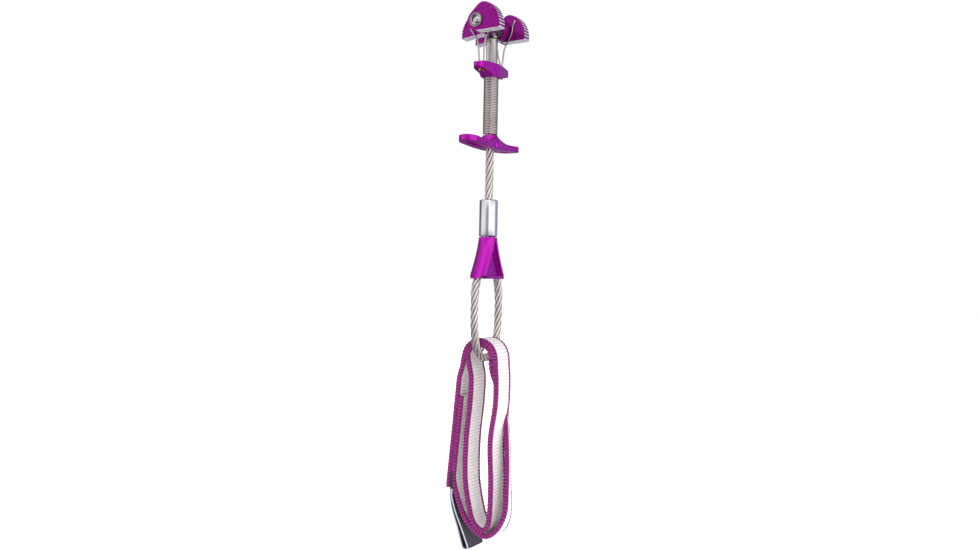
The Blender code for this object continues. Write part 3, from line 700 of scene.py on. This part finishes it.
def rope_piece():
    """Six outer strands laid round a core; each strand's UV seam faces the core."""
    line, along = resample(cable_line(), 0.55 * MM)
    kernel = np.ones(5) / 5
    for axis in (0, 2):
        padded = np.concatenate([[line[0, axis]] * 2, line[:, axis], [line[-1, axis]] * 2])
        line[2:-2, axis] = np.convolve(padded, kernel, "valid")[2:-2]
    tangent = unit(np.gradient(line, axis=0))
    normal = np.tile([0.0, 1.0, 0.0], (len(line), 1))
    side = np.cross(tangent, normal)
    core_uvs = np.tile([0.0, 1.5], (len(line) * 8, 1))
    meshes = [grid_mesh("core", tube_rows(line, CORE_RADIUS, 8, (0, 1, 0)), core_uvs)]
    u = np.repeat(along[:, None] / WIRE_SPACING, 12, axis=1)
    v = np.tile(np.linspace(-1.5, 1.5, 12, endpoint=False), (len(along), 1))
    reach = CABLE_RADIUS - STRAND_RADIUS - 0.02 * MM
    for k in range(STRANDS):
        angle = (2 * pi * along / ROPE_LAY + k * 2 * pi / STRANDS)[:, None]
        outwards = np.cos(angle) * normal + np.sin(angle) * side
        rows = tube_rows(line + reach * outwards, STRAND_RADIUS, 12, outwards, pi)
        meshes.append(grid_mesh("strand", rows, np.stack([u, v], axis=-1)))
    bm = bmesh.new()
    for mesh in meshes:
        bm.from_mesh(mesh)
    joined = bpy.data.meshes.new("rope")
    bm.to_mesh(joined)
    bm.free()
    add_piece("stem_rope", joined, (ROPE,), "stem", ("stem_cable",))


rope_piece()


# ---------------------------------------------------------------- sheath
COIL_RADIUS = 3.15 * MM
COIL_ENDS = (-20.9 * MM, -45.85 * MM)
COIL_PITCH = 0.68 * MM
COIL_WIRE = (0.42 * MM, 0.345 * MM)


def sheath_piece():
    """A close-wound coil of wire with flattened sides."""
    deep, tall = COIL_WIRE
    mean = COIL_RADIUS - deep
    top, bottom = COIL_ENDS[0] - deep, COIL_ENDS[1] + deep
    turns = round((top - bottom) / COIL_PITCH)
    steps = turns * 36
    t = np.arange(steps + 1) / steps
    angle = (2 * pi * turns * t)[:, None]
    z = (top + (bottom - top) * t)[:, None]
    section = np.linspace(0, 2 * pi, 16, endpoint=False)
    across, up = np.cos(section), np.sin(section)
    radius = (mean + deep * np.sign(across) * np.abs(across) ** 0.45)[None]
    rise = (tall * np.sign(up) * np.abs(up) ** 0.7)[None]
    rows = np.stack([radius * np.cos(angle), radius * np.sin(angle), z + rise], axis=-1)
    coil = grid_mesh("coil", rows)
    add_piece("trigger_coil", coil, (COIL_STEEL,), "trigger", ("trigger_sheath",))


sheath_piece()


# ---------------------------------------------------------------- trigger bar and wire collar
BAR_HALF = 20.8 * MM
BAR_WIDE = 4.25 * MM
BAR_LEVEL = -50.4 * MM
BAR_FLAT = 6.0 * MM
BAR_TIP_RISE = 0.9 * MM
BAR_THICKNESS = (1.3 * MM, 0.2 * MM, 16 * MM)  # half of it, what the middle adds and how far that reaches
BAR_CROWN = (1.9 * MM, 9.5 * MM)  # rise of the top at the middle, and how far it reaches
BAR_BORE = 2.0 * MM
BAR_SLOT = (9.2 * MM, 16.9 * MM, 1.4 * MM)
HUB_PROFILE = (
    (0.0, -46.0), (3.3, -46.0), (3.45, -46.9), (3.8, -47.8), (4.5, -48.7),
    (4.8, -49.6), (4.8, -51.4), (4.4, -51.8), (0.0, -51.8),
)
COLLAR_PLAN = (3.7 * MM, 2.3 * MM, 9.9 * MM)  # radius of the middle and of the ends, and their distance
COLLAR_BORE = 2.85 * MM
COIL_SEAT = (3.22 * MM, -20.7 * MM)
NIPPLE_POCKET = ((6.2 * MM, 10.4 * MM), 1.9 * MM, -18.1 * MM)  # ends along X, half width and roof
WIRE_SLOT = (0.5 * MM, 1.4 * MM)
COLLAR_TOP = ((4.0, -15.85), (7.0, -16.0), (9.9, -16.3), (11.6, -16.7), (12.2, -17.1))
COLLAR_BOTTOM = ((12.2, -18.6), (11.6, -19.1), (9.9, -19.6), (5.2, -20.2), (3.95, -20.9), (3.65, -21.5))
WIRES = {
    "outer": {
        "side": 1,
        "foot": (7.3 * MM, -0.4 * MM),
        "route": ((-5.3, 1.5), (-4.95, -0.8), (-3.75, -3.4), (-2.1, -6.0), (-1.3, -8.6), (-0.9, -13.0)),
    },
    "inner": {
        "side": -1,
        "foot": (9.2 * MM, 0.2 * MM),
        "route": (
            (6.25, 0.5), (5.7, -1.8), (4.5, -3.6), (3.1, -5.4), (2.1, -7.4), (1.7, -9.8), (0.9, -14.0),
        ),
    },
}


def bar_height(x):
    share = max(abs(x) - BAR_FLAT, 0.0) / (BAR_HALF - BAR_FLAT)
    return BAR_LEVEL + BAR_TIP_RISE * share**1.5


def two_ended(radius, centre_x, segments):
    """A flat outline with a half circle at each end."""
    right = arc(radius, (centre_x, 0.0), segments, -90.0, 90.0)
    return right + arc(radius, (-centre_x, 0.0), segments, 90.0, 270.0)


def bar_piece():
    """A flat bar with round ends, a slot in each wing and a hub that flares into it."""
    solid = prism_mesh(two_ended(BAR_WIDE, BAR_HALF - BAR_WIDE, 24), -60 * MM, -40 * MM, "XY")
    thin, extra, extra_reach = BAR_THICKNESS
    crown, crown_reach = BAR_CROWN
    top, bottom = [], []
    for i in range(41):
        x = BAR_HALF * 1.05 * (2 * i / 40 - 1)
        thick = thin + extra * max(0.0, 1 - abs(x) / extra_reach)
        rise = crown * max(0.0, 1 - abs(x) / crown_reach) ** 2
        top.append((x, bar_height(x) + thick + rise))
        bottom.append((x, bar_height(x) - thick))
    tools = [("INTERSECT", prism_mesh(bottom + top[::-1], -8 * MM, 8 * MM, "XZ"))]
    near, far, slot = BAR_SLOT
    for end, _ in SIDES:
        shape = arc(slot, (far, 0.0), 16, -90.0, 90.0) + arc(slot, (near, 0.0), 16, 90.0, 270.0)
        cutter = prism_mesh([(end * x, y) for x, y in shape], -60 * MM, -40 * MM, "XY")
        tools.append(("DIFFERENCE", cutter))
    tools.append(("UNION", turned_mesh(in_metres(HUB_PROFILE), 48)))
    tools.append(("DIFFERENCE", cylinder_mesh(BAR_BORE, (0, 0, -45 * MM), (0, 0, -53 * MM))))
    made = evaluated(solid, tools, remesh=0.16 * MM, smooth_steps=10)
    materials = (ANODISED_PAINTED_LIT,)
    add_piece("trigger_finger_bar", made, materials, "trigger", ("trigger_bar",), 0)


def collar_outline():
    """The plan: a wide round middle and two narrow round ends, joined by tangents."""
    wide, narrow, reach = COLLAR_PLAN
    edge = 90.0 - atan2(wide - narrow, reach) * 180 / pi
    plan = []
    for turn, x in ((0.0, reach), (180.0, -reach)):
        plan += arc(narrow, (x, 0.0), 20, turn - edge, turn + edge)
        plan += arc(wide, (0.0, 0.0), 8, turn + edge, turn + 180.0 - edge)
    return plan


def collar_piece():
    solid = prism_mesh(collar_outline(), -30 * MM, -10 * MM, "XY")
    right = in_metres(COLLAR_TOP + COLLAR_BOTTOM)
    view = right + [(-x, z) for x, z in right[::-1]]
    tools = [("INTERSECT", prism_mesh(view, -6 * MM, 6 * MM, "XZ"))]
    for radius, start in ((COLLAR_BORE, -10 * MM), COIL_SEAT):
        tools.append(("DIFFERENCE", cylinder_mesh(radius, (0, 0, start), (0, 0, -30 * MM))))
    pocket_x, pocket_half, pocket_roof = NIPPLE_POCKET
    slot_x, slot_y = WIRE_SLOT
    for end, _ in SIDES:
        low, high = sorted(end * x for x in pocket_x)
        pocket = box_mesh((low, -pocket_half, -25 * MM), (high, pocket_half, pocket_roof))
        tools.append(("DIFFERENCE", pocket))
        for wire in WIRES.values():
            x, y = end * wire["foot"][0], wire["foot"][1]
            low_corner = (x - slot_x, y - slot_y, -19.0 * MM)
            high_corner = (x + slot_x, y + slot_y, -14 * MM)
            tools.append(("DIFFERENCE", box_mesh(low_corner, high_corner)))
    made = evaluated(solid, tools, remesh=0.11 * MM, smooth_steps=14)
    materials = (ANODISED_PAINTED_LIT,)
    add_piece("wire_cross_piece", made, materials, "trigger", ("wire_collar",), 0)


bar_piece()
collar_piece()


# ---------------------------------------------------------------- ferrule and spreader
CABLE_CHANNEL = 1.84 * MM
WEDGE_WEB = 2.35 * MM
WEDGE_MARGINS = (1.6 * MM, 1.3 * MM)
LEG_ARCH = (2.6 * MM, 1.2 * MM)


def ferrule_piece():
    top, bottom = FERRULE_Z
    inside = 1.9 * MM
    profile = [
        (inside, top),
        (FERRULE_RADIUS - 0.55 * MM, top),
        (FERRULE_RADIUS - 0.2 * MM, top - 0.12 * MM),
        (FERRULE_RADIUS, top - 0.5 * MM),
        (FERRULE_RADIUS, bottom + 0.4 * MM),
        (FERRULE_RADIUS - 0.15 * MM, bottom + 0.1 * MM),
        (FERRULE_RADIUS - 0.4 * MM, bottom),
        (3.3 * MM, bottom),
        (3.3 * MM, bottom + 1.2 * MM),
        (inside, bottom + 3.0 * MM),
    ]
    add_piece("loop_swage", turned_mesh(profile, 96), (BRIGHT,), "stem", ("loop_ferrule",), 50)


def spreader_piece():
    """A flared wedge with a channel for the cable, a pocket in each face and an arch round each leg."""
    top, bottom = SPREADER_Z
    rows = []
    for i in range(33):
        height = top + (bottom - top) * i / 32
        ring = two_ended(FERRULE_RADIUS, spreader_offset(height) + 0.02 * MM, 24)
        rows.append([(x, y, height) for x, y in ring])
    solid = cleaned(grid_mesh("spreader", rows))
    route = resample(cable_line(), 0.8 * MM)[0]
    channel = cleaned(grid_mesh("channel", tube_rows(route, CABLE_CHANNEL, 20, (0, 1, 0))))
    tools = [("DIFFERENCE", channel)]
    pocket_top, pocket_bottom = top - WEDGE_MARGINS[0], bottom + WEDGE_MARGINS[1]
    for side in (-1, 1):
        right = []
        for i in range(14):
            height = pocket_top + (pocket_bottom - pocket_top) * i / 13
            right.append((0.1 * MM + 0.97 * spreader_offset(height), height))
        outline = right + [(-x, z) for x, z in right[::-1]]
        low, high = sorted((side * WEDGE_WEB, side * 5.0 * MM))
        tools.append(("DIFFERENCE", prism_mesh(outline, low, high, "XZ")))
    arch_radius, arch_drop = LEG_ARCH
    arch = bottom - arch_drop
    for end, _ in SIDES:
        x = end * leg_offset(bottom)
        cutter = cylinder_mesh(arch_radius, (x, -6 * MM, arch), (x, 6 * MM, arch), 40)
        tools.append(("DIFFERENCE", cutter))
    made = evaluated(solid, tools, remesh=0.11 * MM, smooth_steps=9)
    add_piece("loop_wedge", made, (ANODISED_PAINTED_LIT,), "stem", ("loop_spreader",), 0)


ferrule_piece()
spreader_piece()


# ---------------------------------------------------------------- trigger wires
WIRE_X = 8.1 * MM
WIRE_RADIUS = 0.34 * MM
WIRE_REACH = 4.3 * MM
WIRE_BEND = 0.35 * MM
BEND_DROP = 0.7 * MM
WIRE_LEAN = (-10.0 * MM, -15.0 * MM)
WIRE_FOOT = (-17.2 * MM, -20.25 * MM)
NIPPLE_PROFILE = (
    (0.38, -18.4), (0.5, -18.4), (0.62, -18.55), (0.62, -19.75), (0.5, -19.9), (0.38, -19.9),
)


def wire_points(row, end):
    """Through the lobe's hole, round a bend, down the route and into the collar."""
    wire = WIRES[row]
    y, z = hole_centre(row)
    foot_x, foot_y = wire["foot"]
    reach = wire["side"] * WIRE_REACH
    bend = wire["side"] * WIRE_BEND
    points = [(end * (WIRE_X + reach), y, z), (end * (WIRE_X + 2 * bend), y, z)]
    for lean in (radians(20), radians(45), radians(70)):
        x = WIRE_X + 2 * bend * (1 - sin(lean))
        points.append((end * x, y, z - BEND_DROP * (1 - cos(lean))))
    for y, z in smooth([(y, z - 0.9 * MM), *in_metres(wire["route"])]):
        share = min(max((WIRE_LEAN[0] - z) / (WIRE_LEAN[0] - WIRE_LEAN[1]), 0.0), 1.0)
        points.append((end * (WIRE_X + (foot_x - WIRE_X) * share * 0.8), y, z))
    return points + [(end * foot_x, foot_y, level) for level in WIRE_FOOT]


def wire_piece(row, end, side_name):
    tag = row + "_" + side_name
    line, _ = resample(wire_points(row, end), 0.3 * MM)
    mesh = grid_mesh("wire", tube_rows(line, WIRE_RADIUS, 14, (0.31, 1.0, 0.17)))
    add_piece("trigger_rod_" + tag, mesh, (STEEL,), "wire_" + tag, ("trigger_wire_" + tag,))
    foot_x, foot_y = WIRES[row]["foot"]
    nipple = turned_mesh(in_metres(NIPPLE_PROFILE), 32)
    nipple.transform(Matrix.Translation((end * foot_x, foot_y, 0)))
    name = "crimped_nipple_" + tag
    add_piece(name, nipple, (BRASS,), "wire_" + tag, ("wire_nipple_" + tag,), 40)


for END, SIDE_NAME in SIDES:
    for ROW in WIRES:
        wire_piece(ROW, END, SIDE_NAME)


# ---------------------------------------------------------------- sling
TAPE_SHARES = (-1.0, -0.96, -0.88, -0.78, -0.69, -0.45, 0.0, 0.45, 0.69, 0.78, 0.88, 0.96, 1.0)
LABEL_SHARES = (-1.0, -0.97, -0.92, -0.8, -0.5, 0.0, 0.5, 0.8, 0.92, 0.97, 1.0)
TAPE = (12.0 * MM, 1.5 * MM)
LABEL_STRIP = (12.6 * MM, 0.6 * MM)
PALE_EDGE = 5.85 * MM
PALE_BELOW = -196.8 * MM
TACKS_AT = ((11.75, -161.5, 0.11), (12.45, -172.0, 0.10), (13.55, -183.0, 0.12))  # Y, Z and slope
TACK_HALF = (4.6, 1.5)
TACK_LIFT = 0.78
THREAD_RADIUS = 0.16 * MM


def over_loop(radius, first, last, count):
    """Route points round the bottom of the thumb loop, from first to last in degrees."""
    middle = LOOP_BOTTOM / MM
    return [(y, z, 0, 0) for y, z in arc(radius, (0.0, middle), count - 1, first, last)]


def sling_line():
    """One tape from the outer cut end to the inner one, as (Y, Z, X, twist) in millimetres and degrees."""
    return smooth([
        (14.3, -196.2, 0, 0), (13.9, -191.0, 0, 0), (12.3, -174.7, 0, 0), (10.9, -160.0, 0, 0),
        (9.9, -149.5, 0, 0), (8.4, -144.0, 0, 0),
        *over_loop(7.58, 12, 168, 6),
        (-8.1, -144.0, -0.3, 0), (-8.9, -150.0, -1.0, 0), (-8.9, -160.0, -1.5, 0),
        (-6.45, -174.7, -0.8, 0), (-6.8, -191.5, -0.3, 0), (-6.4, -204.0, 0, 0),
        (-5.6, -209.6, 0, 0), (-3.1, -212.3, 0, 0), (1.2, -209.8, 0, 0), (3.5, -204.0, 0, 0),
        (5.9, -191.5, 0, 0), (5.8, -174.7, 0, 0), (4.3, -160.0, 0, 0), (3.9, -149.5, 0, 0),
        (4.9, -144.0, 0, 0),
        *over_loop(5.95, 10, 192, 8),
        (-5.4, -147.0, 2.2, 7), (-5.5, -156.0, 6.5, 20), (-6.2, -166.0, 7.6, 26),
        (-7.6, -175.0, 6.6, 26), (-9.2, -185.0, 4.8, 25), (-10.4, -195.0, 3.0, 23),
        (-11.3, -204.0, 1.4, 17), (-9.2, -211.0, 0.4, 6), (-4.7, -214.5, 0, 0), (1.0, -212.5, 0, 0),
        (5.0, -209.0, 0, 0), (8.2, -203.5, 0, 0), (11.6, -193.5, 0, 0), (11.4, -186.5, 0, 0),
        (10.3, -174.7, 0, 0), (9.35, -165.0, 0, 0), (8.6, -157.0, 0, 0),
    ], 12)


def label_line():
    return smooth([
        (11.7, -189.5), (11.8, -196.0), (12.0, -200.0), (9.9, -206.3), (6.9, -212.5), (3.6, -219.8),
        (3.9, -221.0), (5.4, -221.0),
        (6.4, -219.9), (8.9, -212.5), (11.6, -205.6), (12.8, -200.0), (12.6, -196.0), (12.4, -189.5),
    ], 10)


def ribbon(route, width, thickness, rib, bead, step, shares):
    """A tape mesh along a route in metres, as X, Y, Z and twist, and its length.

    Shares are places across the width, from -1 to 1. The ribs cross the tape and the beads are on its edges.
    """
    line, along = resample(route, step)
    centre, twist = line[:, :3], line[:, 3:]
    tangent = unit(np.gradient(centre, axis=0))
    level = square_to(np.tile([1.0, 0.0, 0.0], (len(line), 1)), tangent)
    across = square_to(level * np.cos(twist) + np.array([0.0, 1.0, 0.0]) * np.sin(twist), tangent)
    out = np.cross(tangent, across)
    share = np.concatenate([shares, shares[::-1]])
    around = len(share)
    face = np.repeat([1.0, -1.0], len(shares))
    wave = np.cos(2 * pi * along / (RIB_PITCH * MM))[:, None]
    edge = np.clip((np.abs(share) - 0.68) / 0.1, 0, 1) if bead else np.zeros(around)
    round_off = np.interp(np.abs(share), (0.0, 0.93, 0.97, 1.0), (1.0, 1.0, 0.75, 0.35))
    lift = (1 + rib * wave * (1 - edge) + (0.38 + bead * wave) * edge) * round_off
    reach = share * (1 + 0.1 * bead * wave * edge)
    rows = centre[:, None] + (width / 2) * reach[..., None] * across[:, None]
    rows = rows + (thickness / 2) * (lift * face)[..., None] * out[:, None]
    u = np.repeat(along[:, None] / MM, around, axis=1)
    v = np.tile(share * width / 2 / MM, (len(along), 1))
    return grid_mesh("ribbon", rows, np.stack([u, v], axis=-1)), along[-1]


def sling_piece():
    route = [(x * MM, y * MM, z * MM, radians(twist)) for y, z, x, twist in sling_line()]
    mesh, length = ribbon(route, *TAPE, 0.10, 0.16, RIB_PITCH * MM / 8, TAPE_SHARES)
    bm = bmesh.new()
    bm.from_mesh(mesh)
    bmesh.ops.recalc_face_normals(bm, faces=bm.faces)
    bm.to_mesh(mesh)
    bm.free()
    obj = add_piece("sling_tape", mesh, (WEBBING,), "sling", ("sling_webbing",))
    return obj, length


def label_piece():
    """A folded strip, with pale edges on the part that hangs below the tape."""
    route = [(0.0, y * MM, z * MM, 0.0) for y, z in label_line()]
    mesh, length = ribbon(route, *LABEL_STRIP, 0.0, 0.0, 0.3 * MM, LABEL_SHARES)
    bm = bmesh.new()
    bm.from_mesh(mesh)
    bmesh.ops.recalc_face_normals(bm, faces=bm.faces)
    for face in bm.faces:
        middle = face.calc_center_median()
        if abs(middle.x) > PALE_EDGE and middle.z < PALE_BELOW:
            face.material_index = 1
    bm.to_mesh(mesh)
    bm.free()
    obj = add_piece("folded_label", mesh, (LABEL, LABEL_EDGE), "sling", ("sling_label",))
    return obj, length


def tack_pieces():
    """Zigzag bar tacks through the overlap, on its outer face."""
    half, rise = TACK_HALF
    made = []
    for number, (y, z, lean) in enumerate(TACKS_AT):
        points = []
        for i in range(61):
            up = rise if i % 2 else -rise
            points.append((-half + 2 * half * i / 60, y + TACK_LIFT - lean * up, z + up))
        line, _ = resample(in_metres(points), 0.25 * MM)
        mesh = grid_mesh("tack", tube_rows(line, THREAD_RADIUS, 6, (0.0, 1.0, 0.1)))
        made.append(add_piece("bar_tack_%d" % (number + 1), mesh, (THREAD,), "sling"))
    return made


SLING, SLING_LENGTH = sling_piece()
LABEL_PIECE, LABEL_LENGTH = label_piece()
TACKS = tack_pieces()


# ---------------------------------------------------------------- CAD nodes that stay
def refinish(names, mat):
    for name in names:
        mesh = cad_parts[name].data
        for i in range(len(mesh.materials)):
            mesh.materials[i] = mat


refinish(("stem_terminal",), SHANK_STEEL_PAINTED_REFLECTIONS)
refinish(("cam_spring_left", "cam_spring_right", "spacer_washer_left", "spacer_washer_right"), STEEL)
refinish(("axle_washer_left", "axle_washer_right"), WASHER_STEEL)


# ---------------------------------------------------------------- stage
VIEW_X, VIEW_Y = 0.857, 0.515  # the level direction that the camera looks in
VIEW = Vector((VIEW_X, VIEW_Y, 0.0))
RIGHT = Vector((VIEW_Y, -VIEW_X, 0.0))
MIDDLE_Z = -0.1056
CAMERA_DISTANCE = 0.371
CAMERA_ROLL = 0.02
SENSOR_WIDTH = 36.0
LENS = 32.09816
LENS_SHIFT = (0.0017382413, 0.0009202454)
FLOOR_Z = -0.30
FLOOR_HALF = 6.0
STUDIO_WALLS = (  # brightness round the horizon, as the metal reflects it
    (0.0, (0.10, 0.09, 0.10)),
    (0.19, (0.12, 0.11, 0.12)),
    (0.235, (0.68, 0.66, 0.68)),
    (0.385, (0.72, 0.70, 0.72)),
    (0.42, (0.30, 0.28, 0.28)),
    (0.49, (0.30, 0.28, 0.28)),
    (0.525, (1.0, 1.0, 1.0)),
    (0.73, (1.0, 1.0, 1.0)),
    (0.78, (0.28, 0.29, 0.36)),
    (1.0, (0.26, 0.27, 0.34)),
)
STUDIO_ROOF = (  # the same, higher up
    (0.0, (0.30, 0.30, 0.32)),
    (0.20, (0.34, 0.33, 0.35)),
    (0.36, (0.66, 0.65, 0.66)),
    (0.42, (1.0, 1.0, 1.0)),
    (0.52, (1.0, 1.0, 1.0)),
    (0.60, (0.55, 0.55, 0.56)),
    (0.72, (0.20, 0.20, 0.22)),
    (1.0, (0.24, 0.24, 0.26)),
)
STUDIO_TABLE = (0.11, 0.10, 0.13, 1.0)
LAMPS = (  # name, place along VIEW, RIGHT and up, power, two sizes and colour
    ("key", (-0.55, 0.35, 0.35), 2.0, (0.35, 0.5), (1.0, 0.98, 0.96)),
    ("left", (-0.45, -0.55, 0.1), 0.9, (0.2, 0.7), (1.0, 0.98, 1.0)),
    ("back", (0.6, 0.3, 0.3), 1.4, (0.4, 0.4), (1.0, 1.0, 1.0)),
    ("low", (-0.35, 0.1, -0.22), 0.4, (0.4, 0.2), (1.0, 1.0, 1.0)),
)


def background(tree, colour, strength):
    node = tree.nodes.new("ShaderNodeBackground")
    feed(tree, colour, node.inputs["Color"])
    node.inputs["Strength"].default_value = strength
    return node.outputs["Background"]


def choose(tree, factor, first, second):
    node = tree.nodes.new("ShaderNodeMixShader")
    tree.links.new(factor, node.inputs["Fac"])
    tree.links.new(first, node.inputs[1])
    tree.links.new(second, node.inputs[2])
    return node.outputs["Shader"]


def reflected_studio(tree):
    """Walls that vary round the horizon, a roof above them and a dark table below."""
    coords = coordinates(tree, "Generated")
    parts = []
    for direction in (RIGHT, -VIEW):
        node = tree.nodes.new("ShaderNodeVectorMath")
        node.operation = "DOT_PRODUCT"
        node.inputs[1].default_value = direction
        tree.links.new(coords, node.inputs[0])
        parts.append(node.outputs["Value"])
    azimuth = map_range(tree, calculate(tree, "ARCTAN2", *parts), -pi, pi)
    height = separate(tree, coords)["Z"]
    walls = ramp(tree, azimuth, STUDIO_WALLS)
    roof = ramp(tree, azimuth, STUDIO_ROOF)
    upper = blend(tree, map_range(tree, height, 0.34, 0.60), walls, roof)
    return blend(tree, map_range(tree, height, -0.22, -0.5), upper, STUDIO_TABLE)


def light_world(scene):
    """White to the camera, soft on matt surfaces, and the studio in reflections."""
    world = bpy.data.worlds.new("studio") if scene.world is None else scene.world
    scene.world = world
    world.use_nodes = True
    tree = world.node_tree
    white = tree.nodes["Background"]
    white.inputs["Color"].default_value = (1.0, 1.0, 1.0, 1.0)
    white.inputs["Strength"].default_value = 1.0
    soft = background(tree, (0.96, 0.97, 1.0, 1.0), 0.72)
    studio = background(tree, reflected_studio(tree), 1.25)
    ray = tree.nodes.new("ShaderNodeLightPath")
    shine = choose(tree, ray.outputs["Is Glossy Ray"], soft, studio)
    seen = choose(tree, ray.outputs["Is Camera Ray"], shine, white.outputs["Background"])
    tree.links.new(seen, tree.nodes["World Output"].inputs["Surface"])


def add_floor(scene):
    mesh = bpy.data.meshes.new("floor")
    corners = [(x * FLOOR_HALF, y * FLOOR_HALF, FLOOR_Z) for x, y in ((-1, -1), (1, -1), (1, 1), (-1, 1))]
    mesh.from_pydata(corners, [], [(0, 1, 2, 3)])
    floor = bpy.data.objects.new("floor", mesh)
    scene.collection.objects.link(floor)
    mat, _, shader = new_material("pale_floor")
    shader.inputs["Base Color"].default_value = (0.9, 0.9, 0.9, 1.0)
    shader.inputs["Roughness"].default_value = 0.9
    shader.inputs["Emission Color"].default_value = (1.0, 1.0, 1.0, 1.0)
    shader.inputs["Emission Strength"].default_value = 0.9
    mesh.materials.append(mat)
    floor.visible_glossy = False


def add_lamps(scene):
    centre = Vector((0.0, 0.0, MIDDLE_Z))
    for name, (ahead, sideways, up), power, (size_x, size_y), colour in LAMPS:
        light = bpy.data.lights.new(name, "AREA")
        light.shape = "RECTANGLE"
        light.size = size_x
        light.size_y = size_y
        light.energy = power
        light.color = colour
        offset = ahead * VIEW + sideways * RIGHT + Vector((0, 0, up))
        lamp = bpy.data.objects.new(name, light)
        lamp.location = centre + offset
        lamp.rotation_euler = (-offset).to_track_quat("-Z", "Y").to_euler()
        lamp.visible_glossy = False
        scene.collection.objects.link(lamp)


def add_camera(scene):
    data = bpy.data.cameras.new("camera")
    data.lens = LENS
    data.sensor_width = SENSOR_WIDTH
    data.clip_start = 0.01
    data.shift_x, data.shift_y = LENS_SHIFT
    camera = bpy.data.objects.new("camera", data)
    place = Vector((-CAMERA_DISTANCE * VIEW_X, -CAMERA_DISTANCE * VIEW_Y, MIDDLE_Z))
    basis = Matrix((RIGHT, Vector((0, 0, 1)), -VIEW)).transposed().to_4x4()
    camera.matrix_world = Matrix.Translation(place) @ basis @ Matrix.Rotation(CAMERA_ROLL, 4, "Z")
    scene.collection.objects.link(camera)
    scene.camera = camera


def stage():
    scene = bpy.context.scene
    scene.view_settings.view_transform = "Standard"
    scene.view_settings.look = "None"
    light_world(scene)
    add_floor(scene)
    add_lamps(scene)
    add_camera(scene)


stage()
